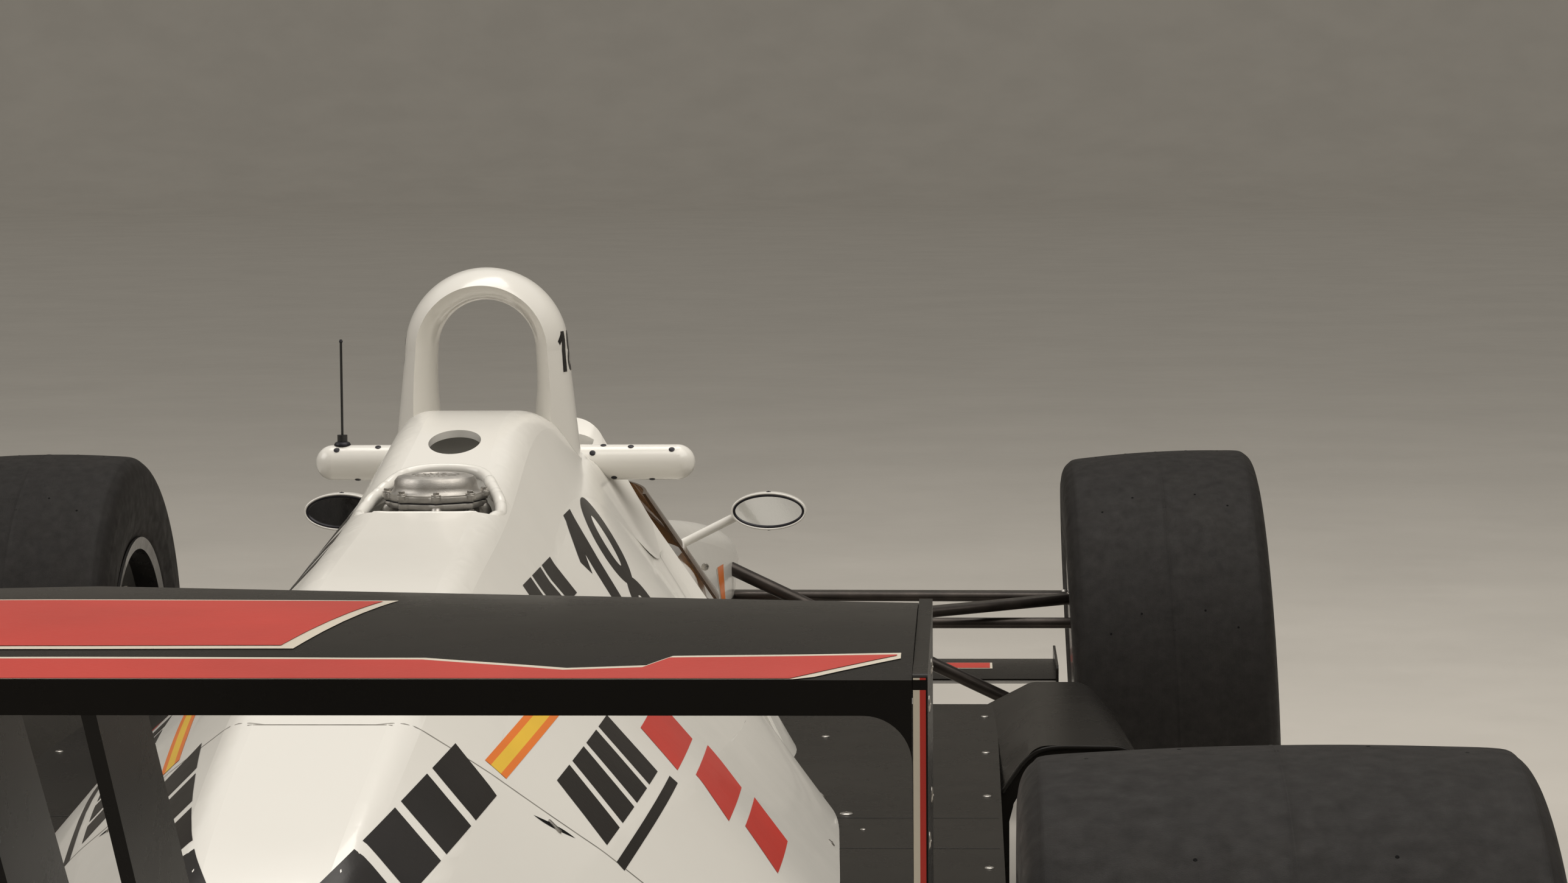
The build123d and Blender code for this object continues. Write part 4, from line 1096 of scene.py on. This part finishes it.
def mirror_trim():
    seals, screws, rims = [], [], []
    for _, side in SIDES:
        middle = Vector((side * MIRROR_SPOT.x, MIRROR_SPOT.y, MIRROR_SPOT.z))
        for parts, inset, radius, proud in ((seals, 0.004, 0.0016, -0.0006), (rims, 0.0012, 0.0014, 0.0)):
            ring = [middle + Vector(((MIRROR_REACH.x - inset) * math.cos(angle), proud,
                                     (MIRROR_REACH.y - inset) * math.sin(angle))) for angle in angles(72)]
            parts.append(ring_tube(ring, radius))
        for way in (1, -1):
            spot = middle + Vector((0, -0.006, way * (MIRROR_REACH.y - 0.0005)))
            screws.append(moved(stud(0.0032, 0.0016), frame_at(spot, (0, 0, way))))
    piece_of("mirror_seals", joined(*seals), trim["screw"])
    piece_of("mirror_rims", joined(*rims), paint["body_white"], "chassis")
    piece_of("mirror_screws", joined(*screws), trim["screw"])


def surface_studs():
    # quarter turn fasteners, each dropped on the panel below or beside it
    rows = [("sidepod_" + name, (side * x, y, DECK_RAY_Z), DOWNWARDS, size)
            for name, side in reversed(SIDES)
            for x, y, size in ((0.414, 0.174, DECK_STUD_LARGE), (0.435, 0.266, DECK_STUD_SMALL))]
    for name, side in SIDES:
        inwards = (-side, 0, 0)
        for x, ys in ((0.572, (-0.52, -0.24, 0.06, 0.48, 0.76)), (0.372, (-0.56, -0.36))):
            rows += [("sidepod_" + name, (side * x, y, DECK_RAY_Z), DOWNWARDS, DECK_STUD) for y in ys]
        for node, x, z, places in (
            ("engine_cover", 0.9, 0.405, (-1.34, -1.06, -0.78)), ("engine_cover", 0.9, 0.47, (-0.5,)),
            ("monocoque", 0.6, 0.38, (-2.62, -2.95)), ("nose_cone", 0.6, 0.38, (-3.02, -3.4)),
        ):
            rows += [(node, (side * x, along(place), z), inwards, FLANK_STUD) for place in places]
        rows += [("rear_wing_end_plates", (side * 0.8, along(place), z), inwards, PLATE_STUD)
                 for place in (0.66, 0.8, 0.94) for z in (0.7, 0.79, 0.865)]
    studs = []
    for node, start, way, size in rows:
        spot, normal = dropped((node,), start, way)
        if spot is not None:
            studs.append(moved(stud(*size), frame_at(spot - normal * 0.0002, normal)))
    piece_of("panel_studs", joined(*studs), trim["bolt"])


def gearbox_trim():
    # cover plates held by two rows of bolts, upright ribs and the ring of bolts on the casing's end
    casing = ("gearbox_casing",)
    plates, bolts = [], []
    for _, side in SIDES:
        for place, z, wide, tall in ((-0.18, 0.235, 0.17, 0.13), (0.2, 0.25, 0.15, 0.12)):
            spot, normal = dropped(casing, (side * 0.5, along(place), z), (-side, 0, 0))
            if spot is None:
                continue
            space = frame_at(spot - normal * 0.0015, normal, (0, 0, 1))
            plates.append(moved(block(wide, tall, 0.018, 4, 0.0, 0.006, 0.0014), space))
            for x in (-0.5, -0.17, 0.17, 0.5):
                for y in (-0.5, 0.5):
                    hole = at(x * (wide - 0.02), y * (tall - 0.018), 0.006)
                    bolts.append(moved(bolt(*CASING_BOLT), space @ hole))
    for place in (-0.44, -0.34, 0.08, 0.34):
        for _, side in SIDES:
            spot, normal = dropped(casing, (side * 0.5, along(place), 0.27), (-side, 0, 0))
            if spot is not None:
                rib = block(0.007, 0.17, 0.003, 3, -0.002, 0.0075, 0.0018)
                plates.append(moved(rib, frame_at(spot, normal, (0, 0, 1))))
    for angle in angles(6, math.radians(30)):
        spot = (0.037 * math.cos(angle), along(0.4) + 0.0002, 0.236 + 0.037 * math.sin(angle))
        bolts.append(moved(bolt(*CASING_BOLT), frame_at(spot, (0, 1, 0), (0, 0, 1))))
    piece_of("gearbox_plates", joined(*plates), paint["gear_metal"], "chassis")
    piece_of("gearbox_bolts", joined(*bolts), trim["bolt"])


def duct_rims():
    # a rounded lip round the way out of each outer duct
    for name, side in SIDES:
        path = [Vector((side * x, along(-1.455), z)) for x, z in (
            (0.59, 0.389), (0.6015, 0.4055), (0.616, 0.425), (0.632, 0.437), (0.655, 0.4415),
            (0.7, 0.4415), (0.728, 0.44), (0.744, 0.429), (0.757, 0.406), (0.7595, 0.38),
            (0.7595, 0.2), (0.7595, 0.09))]
        piece_of("duct_lip_" + name, tube(curve_through(path, 4), 0.0028, 10), paint["body_black"], "chassis")


pod_trim()
mirror_trim()
surface_studs()
gearbox_trim()
duct_rims()


# Painted bands, seams and figures, each a thin skin laid on its panel

COVER = ("engine_cover",)
TUB_AND_NOSE = ("monocoque", "nose_cone")
WING = ("rear_wing_plane",)
SEAM_HALF = 0.001
COVER_SEAM_HALF = 0.0008
COVER_SEAM_LIFT = 0.00025
EIGHT_MIDDLE = 0.104
STRIPE_REAR = 1.171
STRIPE_FRONT = 0.78
STRIPE_LEAN = 0.1


def leaning(rear, front, low, high, lean):
    # the corners of a field whose upper side lies further forwards by lean
    return [(rear, low), (front, low), (front - lean, high), (rear - lean, high)]


def flank_paint():
    for name, side in SIDES:
        chart = flank(side)
        for part, low, high, colour in (("low", 0.359, 0.3655, "orange"), ("mid", 0.3655, 0.377, "yellow"),
                                        ("high", 0.377, 0.3835, "orange")):
            rear_low, rear_high = (STRIPE_REAR + STRIPE_LEAN * (v - 0.359) for v in (low, high))
            corner = [(rear_low, low), (STRIPE_FRONT, low), (STRIPE_FRONT, high), (rear_high, high)]
            field("stripe_%s_%s" % (part, name), chart, COVER, corner, 0.02, LIFT, trim[colour])
        for part, rear, front, low, high, wide, gap in (
            # upright bars that lean forwards, in place of a word
            # name, rear Y, front Y, low v, high v, width, gap
            ("big", 1.56, 1.215, 0.356, 0.412, 0.074, 0.016),
            ("middle", 1.118, 0.868, 0.254, 0.324, 0.052, 0.014),
            ("upper", 0.7, 0.44, 0.42, 0.466, 0.056, 0.012),
        ):
            for index in range(int((rear - front + gap) / (wide + gap))):
                y = rear - index * (wide + gap)
                field("bar_%s_%s_%d" % (part, name, index), chart, COVER,
                      leaning(y, y - wide, low, high, (high - low) * 0.45), 0.012, LIFT, trim["black"])
        for part, rear, front, low, high in (
            ("first", 0.812, 0.64, 0.238, 0.29), ("second", 0.802, 0.63, 0.168, 0.22),
            ("third", 0.792, 0.64, 0.098, 0.15),
        ):
            field("block_%s_%s" % (part, name), chart, COVER,
                  leaning(rear, front, low, high, (high - low) * 0.6), 0.015, LIFT, trim["red"])
        ruled("rule_" + name, [(1.128, 0.233), (0.85, 0.237)], 0.02, 0.0052, chart, COVER, LIFT,
              trim["black"])


def figure_strokes(height):
    # a one and an eight, drawn as strokes with their reading way along u and up along v
    strokes = [sides_of(fine([(0.0, 0.0), (0.0, height)], 0.01), 0.021),
               sides_of(fine([(-0.05, height * 0.72), (-0.01, height - 0.014)], 0.01), 0.013)]
    round_trip = [2 * math.pi * step / 48 for step in range(49)]
    for centre, wide, tall in ((0.742, 0.05, 0.258), (0.262, 0.053, 0.262)):
        strokes.append([[(EIGHT_MIDDLE + (wide - less_wide) * math.cos(angle),
                          height * centre + (height * tall - less_tall) * math.sin(angle))
                         for angle in round_trip] for less_wide, less_tall in ((0.0, 0.0), (0.034, 0.022))])
    return strokes


def figures(name, chart, names, start, top, height, size, lean, way):
    # the figures one and eight on a chart, leaning by lean, read along way
    for index, stroke in enumerate(figure_strokes(height / size)):
        lines = [[(start + way * (a * size + lean * (b * size - height)), top - height + b * size)
                  for a, b in line] for line in stroke]
        patch("%s_%d" % (name, index), *lines, 2, chart, names, LIFT, trim["black"])


def seams():
    for name, side in SIDES:
        line = [(1.233, 0.47), (1.217, 0.4375), (1.126, 0.2341), (1.057, 0.08)]
        ruled("cover_seam_" + name, line, 0.01, COVER_SEAM_HALF, flank(side), COVER, COVER_SEAM_LIFT,
              trim["seam"])
        for index, y in enumerate((0.197, 0.374)):
            ruled("deck_seam_%s_%d" % (name, index), [(side * 0.404, y), (side * 0.584, y)], 0.02, SEAM_HALF,
                  DOWN, ("sidepod_" + name,), SEAM_LIFT, trim["dark_seam"])
    ruled("cover_seam_top", [(-0.062, 1.233), (0.062, 1.233)], 0.01, COVER_SEAM_HALF, DOWN, COVER,
          COVER_SEAM_LIFT, trim["seam"])
    # the joint between the tub and the nose, drawn round both flanks and over the top
    y = along(-2.985)
    for name, side in SIDES:
        ruled("nose_seam_" + name, [(y, 0.14), (y, 0.4)], 0.01, SEAM_HALF, from_side(side, 0.5),
              TUB_AND_NOSE, SEAM_LIFT, trim["seam"])
    ruled("nose_seam_top", [(-0.09, y), (0.09, y)], 0.01, SEAM_HALF, DOWN, TUB_AND_NOSE, SEAM_LIFT,
          trim["seam"])


def flank_fairings():
    # the cover's skin carried on over the slit behind its front collar
    low_y, front, rear, high_y = -0.178, -0.169, -0.137, -0.127
    rows, columns = 48, 16
    for name, side in SIDES:
        origin, u_way, v_way, cast = ways_of(flank(side))
        bottom = (Vector((side * 0.298, 0, 0.46)) - origin).dot(v_way)
        top = (Vector((side * 0.185, 0, 0.655)) - origin).dot(v_way)
        points, depths = [], [0.0] * 4
        for row in range(rows + 1):
            start = origin + v_way * (bottom + (top - bottom) * row / rows)
            hits = [dropped(COVER, start + u_way * y - cast * CAST_START, cast)[0]
                    for y in (low_y, front, rear, high_y)]
            if all(hit is not None for hit in hits):
                depths = [(hit - start).dot(cast) for hit in hits]
            leave = (depths[1] - depths[0]) / (front - low_y) * (rear - front)
            reach = (depths[3] - depths[2]) / (high_y - rear) * (rear - front)
            for column in range(columns + 1):
                t = column / columns
                depth = (depths[1] * (2 * t ** 3 - 3 * t ** 2 + 1) + leave * (t ** 3 - 2 * t ** 2 + t)
                         + depths[2] * (3 * t ** 2 - 2 * t ** 3) + reach * (t ** 3 - t ** 2))
                points.append(start + u_way * (front + (rear - front) * t) + cast * (depth - LIFT / 2))
        piece_of("flank_fairing_" + name, (points, quads(rows + 1, columns + 1, False)), paint["body_white"],
                 crease=60.0)


def mouth_lip():
    # the rolled edge of the opening round the boost valve
    low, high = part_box("popoff_valve")
    centre = (low + high) / 2
    count, radius, proud, step = 144, 0.0065, 0.0007, 0.001
    first_reach, last_reach, rim_z = 0.05, 0.13, 0.74
    outs = [on_circle(angle, 1.0) for angle in angles(count)]

    def skin_at(out, reach):
        return dropped(COVER, Vector((centre.x, centre.y, 1.2)) + out * reach, DOWNWARDS)

    reaches = []
    for out in outs:
        reach = first_reach
        while reach < last_reach:
            near, far = skin_at(out, reach)[0], skin_at(out, reach + step)[0]
            if near is not None and far is not None and near.z > rim_z and far.z - near.z < step / 2:
                break
            reach += step
        reaches.append(reach)
    ring = []
    for index, out in enumerate(outs):
        reach = sum(reaches[(index + shift) % count] for shift in range(-6, 7)) / 13
        spot, _ = skin_at(out, reach + step * 2)
        _, normal = skin_at(out, reach + step * 4)
        if spot is not None and normal is not None:
            inward = -(out - normal * out.dot(normal)).normalized()
            ring.append(spot + inward * 0.004 - normal * (radius - proud))
    piece_of("mouth_lip", ring_tube(ring, radius, 16), paint["body_white"], crease=60.0)


def slot_and_pin():
    # the lens shaped access slot in each flank, a dark patch of painted shade, with the pin that shows in it
    for name, side in SIDES:
        chart = flank(side)
        lefts, rights = [], []
        for step in range(21):
            t = step / 20
            swell = math.sin(math.pi * t)
            for line, out in ((lefts, swell), (rights, -swell)):
                line.append((1.187 - 0.029 * t + 0.0062 * out, 0.321 - 0.041 * t + 0.003 * out))
        patch("access_slot_" + name, lefts, rights, 4, chart, COVER, SEAM_LIFT, trim["hollow"])
        origin, u_way, v_way, cast = ways_of(chart)
        spot, normal = dropped(COVER, origin + u_way * 1.1725 + v_way * 0.3005 - cast * CAST_START, cast)
        if spot is not None:
            pin = block(0.005, 0.016, 0.0022, 4, -0.0006, 0.0016, 0.0006)
            piece_of("access_pin_" + name, moved(pin, frame_at(spot, normal, v_way)), trim["bolt"])


def bordered(name, chart, names, grow, colour, corners_at, ending=""):
    # a field on a cream one that is larger by grow; corners_at gives the corners for a growth
    for part, more, lift, shade in (("border", grow, LIFT, "cream"), ("field", 0.0, LIFT * 2, colour)):
        field("%s_%s%s" % (name, part, ending), chart, names, corners_at(more), 0.02, lift, trim[shade])


def wing_paint():
    upper = [
        # X, Y of the band's front edge
        (0.000, 2.408), (0.066, 2.408), (0.254, 2.412), (0.333, 2.437), (0.375, 2.431), (0.388, 2.408),
        (0.455, 2.405), (0.511, 2.401),
    ]
    for name, side in SIDES:
        fronts = fine([(side * x, y) for x, y in upper], 0.012)
        rears = [(x, 2.456 - max(0.0, abs(x) - 0.455) / 0.056 * 0.053) for x, _ in fronts]
        edge = [(x * 1.004, y - 0.006) for x, y in fronts]
        back = [(x * 1.004, min(2.4566, y + 0.006)) for x, y in rears]
        patch("wing_edging_" + name, edge, back, 4, DOWN_HIGH, WING, LIFT, trim["cream"])
        patch("wing_band_" + name, fronts, rears, 4, DOWN_HIGH, WING, LIFT * 2, trim["red"])
    bordered("wing_panel", DOWN_HIGH, WING, 0.008, "red", lambda grow: [
        (-0.17 - grow, 2.372 + grow), (0.2 + grow, 2.372 + grow), (0.17 + grow, 2.19 - grow),
        (-0.2 - grow, 2.19 - grow)])
    # edges of the end plates: a red painted line on the outer side and a cream line on the inner side that is a
    # painted highlight
    for name, side in SIDES:
        for colour, inner, outer in (("cream", 0.5203, 0.5238), ("red", 0.5238, 0.527)):
            x = side * (inner + outer) / 2
            ruled("plate_edge_%s_%s" % (colour, name), [(x, 0.634), (x, 0.888)], 0.02, (outer - inner) / 2,
                  FORWARDS, ("rear_wing_end_plates",), LIFT, trim[colour])


def front_paint():
    for name, side in SIDES:
        bordered("front_label", DOWN, ("front_wings",), 0.004, "red", lambda grow: [
            (side * (0.47 - grow), -1.976 + grow), (side * (0.588 + grow), -1.976 + grow),
            (side * (0.588 + grow), -2.03 - grow), (side * (0.47 - grow), -2.03 - grow)], "_" + name)
        # a leaning band on the side of the tub, edged in cream, and the dark field in front of it
        chart = from_side(side, 0.6)
        bordered("side_band", chart, ("monocoque",), 0.006, "orange", lambda grow: [
            (-1.175 + grow, 0.2), (-1.245 - grow, 0.2), (-1.305 - grow, 0.5), (-1.262 + grow, 0.5)],
                 "_" + name)
        corner = [(-1.263, 0.2), (-1.52, 0.2), (-1.5, 0.44), (-1.312, 0.44)]
        field("side_field_" + name, chart, TUB_AND_NOSE, corner, 0.007, LIFT * 2, trim["black"])


flank_paint()
for name, side in SIDES:
    figures("flank_figure_" + name, flank(side), COVER, 0.3, 0.487, 0.205, 1.0, 0.8, side)
    figures("hoop_figure_" + name, from_side(side, 0.3), ("roll_hoop",),
            along(-1.43) + (0.03 if side < 0 else -0.02), 0.93, 0.046, 0.25, 0.1, side)
seams()
flank_fairings()
mouth_lip()
slot_and_pin()
wing_paint()
front_paint()


# Camera, stage and light

def aim_camera():
    yaw_sin, yaw_cos = math.sin(CAMERA_YAW), math.cos(CAMERA_YAW)
    pitch_sin, pitch_cos = math.sin(CAMERA_PITCH), math.cos(CAMERA_PITCH)
    roll_sin, roll_cos = math.sin(CAMERA_ROLL), math.cos(CAMERA_ROLL)
    forward = Vector((-yaw_sin * pitch_cos, -yaw_cos * pitch_cos, -pitch_sin))
    right = Vector((-yaw_cos, yaw_sin, 0.0))
    up = right.cross(forward)
    data = bpy.data.cameras.new("camera")
    data.sensor_fit = "HORIZONTAL"
    data.sensor_width = SENSOR_WIDTH
    data.lens = CAMERA_LENS
    data.clip_start = 0.05
    data.clip_end = 200.0
    camera = bpy.data.objects.new("camera", data)
    bpy.context.scene.collection.objects.link(camera)
    turn = Matrix((right * roll_cos + up * roll_sin, up * roll_cos - right * roll_sin, -forward))
    camera.matrix_world = Matrix.Translation(CAMERA_SPOT) @ turn.transposed().to_4x4()
    bpy.context.scene.camera = camera


def backdrop():
    # a round floor that sweeps up into a wall
    reach, sweep, height = 48.0, 10.0, 26.0
    profile = [(0.0, 0.0), (2.0, 0.0), (6.0, 0.0), (14.0, 0.0), (reach - sweep, 0.0)]
    for step in range(1, 13):
        angle = math.pi / 2 * step / 12
        profile.append((reach - sweep + sweep * math.sin(angle), sweep * (1 - math.cos(angle))))
    profile.append((reach, height))
    material = surface("floor_pale", FLOOR_COLOUR, 0.42, vary=0.03, scale=1.5, grain=90.0, depth=0.0001,
                       rough_vary=0.05, specular=0.25)
    made = mesh_object("backdrop", lathe(profile, 96), material, 60.0)


def lamp(name, spot, target, size, power, colour):
    data = bpy.data.lights.new(name, "AREA")
    data.shape = "RECTANGLE"
    data.size, data.size_y = size
    data.energy = power
    data.color = colour
    light = bpy.data.objects.new(name, data)
    light.location = spot
    light.rotation_mode = "QUATERNION"
    light.rotation_quaternion = (Vector(target) - Vector(spot)).to_track_quat("-Z", "Y")
    bpy.context.scene.collection.objects.link(light)


def sky():
    world = bpy.data.worlds.new("sky")
    bpy.context.scene.world = world
    world.use_nodes = True
    tree = world.node_tree
    background = tree.nodes["Background"]
    height = tree.nodes.new("ShaderNodeSeparateXYZ")
    tree.links.new(tree.nodes.new("ShaderNodeTexCoord").outputs["Generated"], height.inputs["Vector"])
    colours = blend_colours(tree, height.outputs["Z"], SKY_LOW, SKY_HIGH, 0.0, 0.9)
    tree.links.new(colours, background.inputs["Color"])
    background.inputs["Strength"].default_value = 1.0


aim_camera()
backdrop()
# name, place, target, size, power and colour of each lamp
lamp("key", (-2.4, 1.4, 5.8), (0.0, 0.2, 0.4), (5.6, 5.6), 250.0, (1.0, 0.95, 0.88))
lamp("fill", (5.0, 1.0, 4.2), (0.0, 0.0, 0.5), (4.0, 3.0), 100.0, (1.0, 0.96, 0.92))
lamp("front", (0.3, -2.2, 6.6), (0.0, -1.8, 0.3), (4.0, 2.4), 110.0, (1.0, 0.96, 0.9))
sky()
bpy.context.scene.view_settings.view_transform = "Standard"
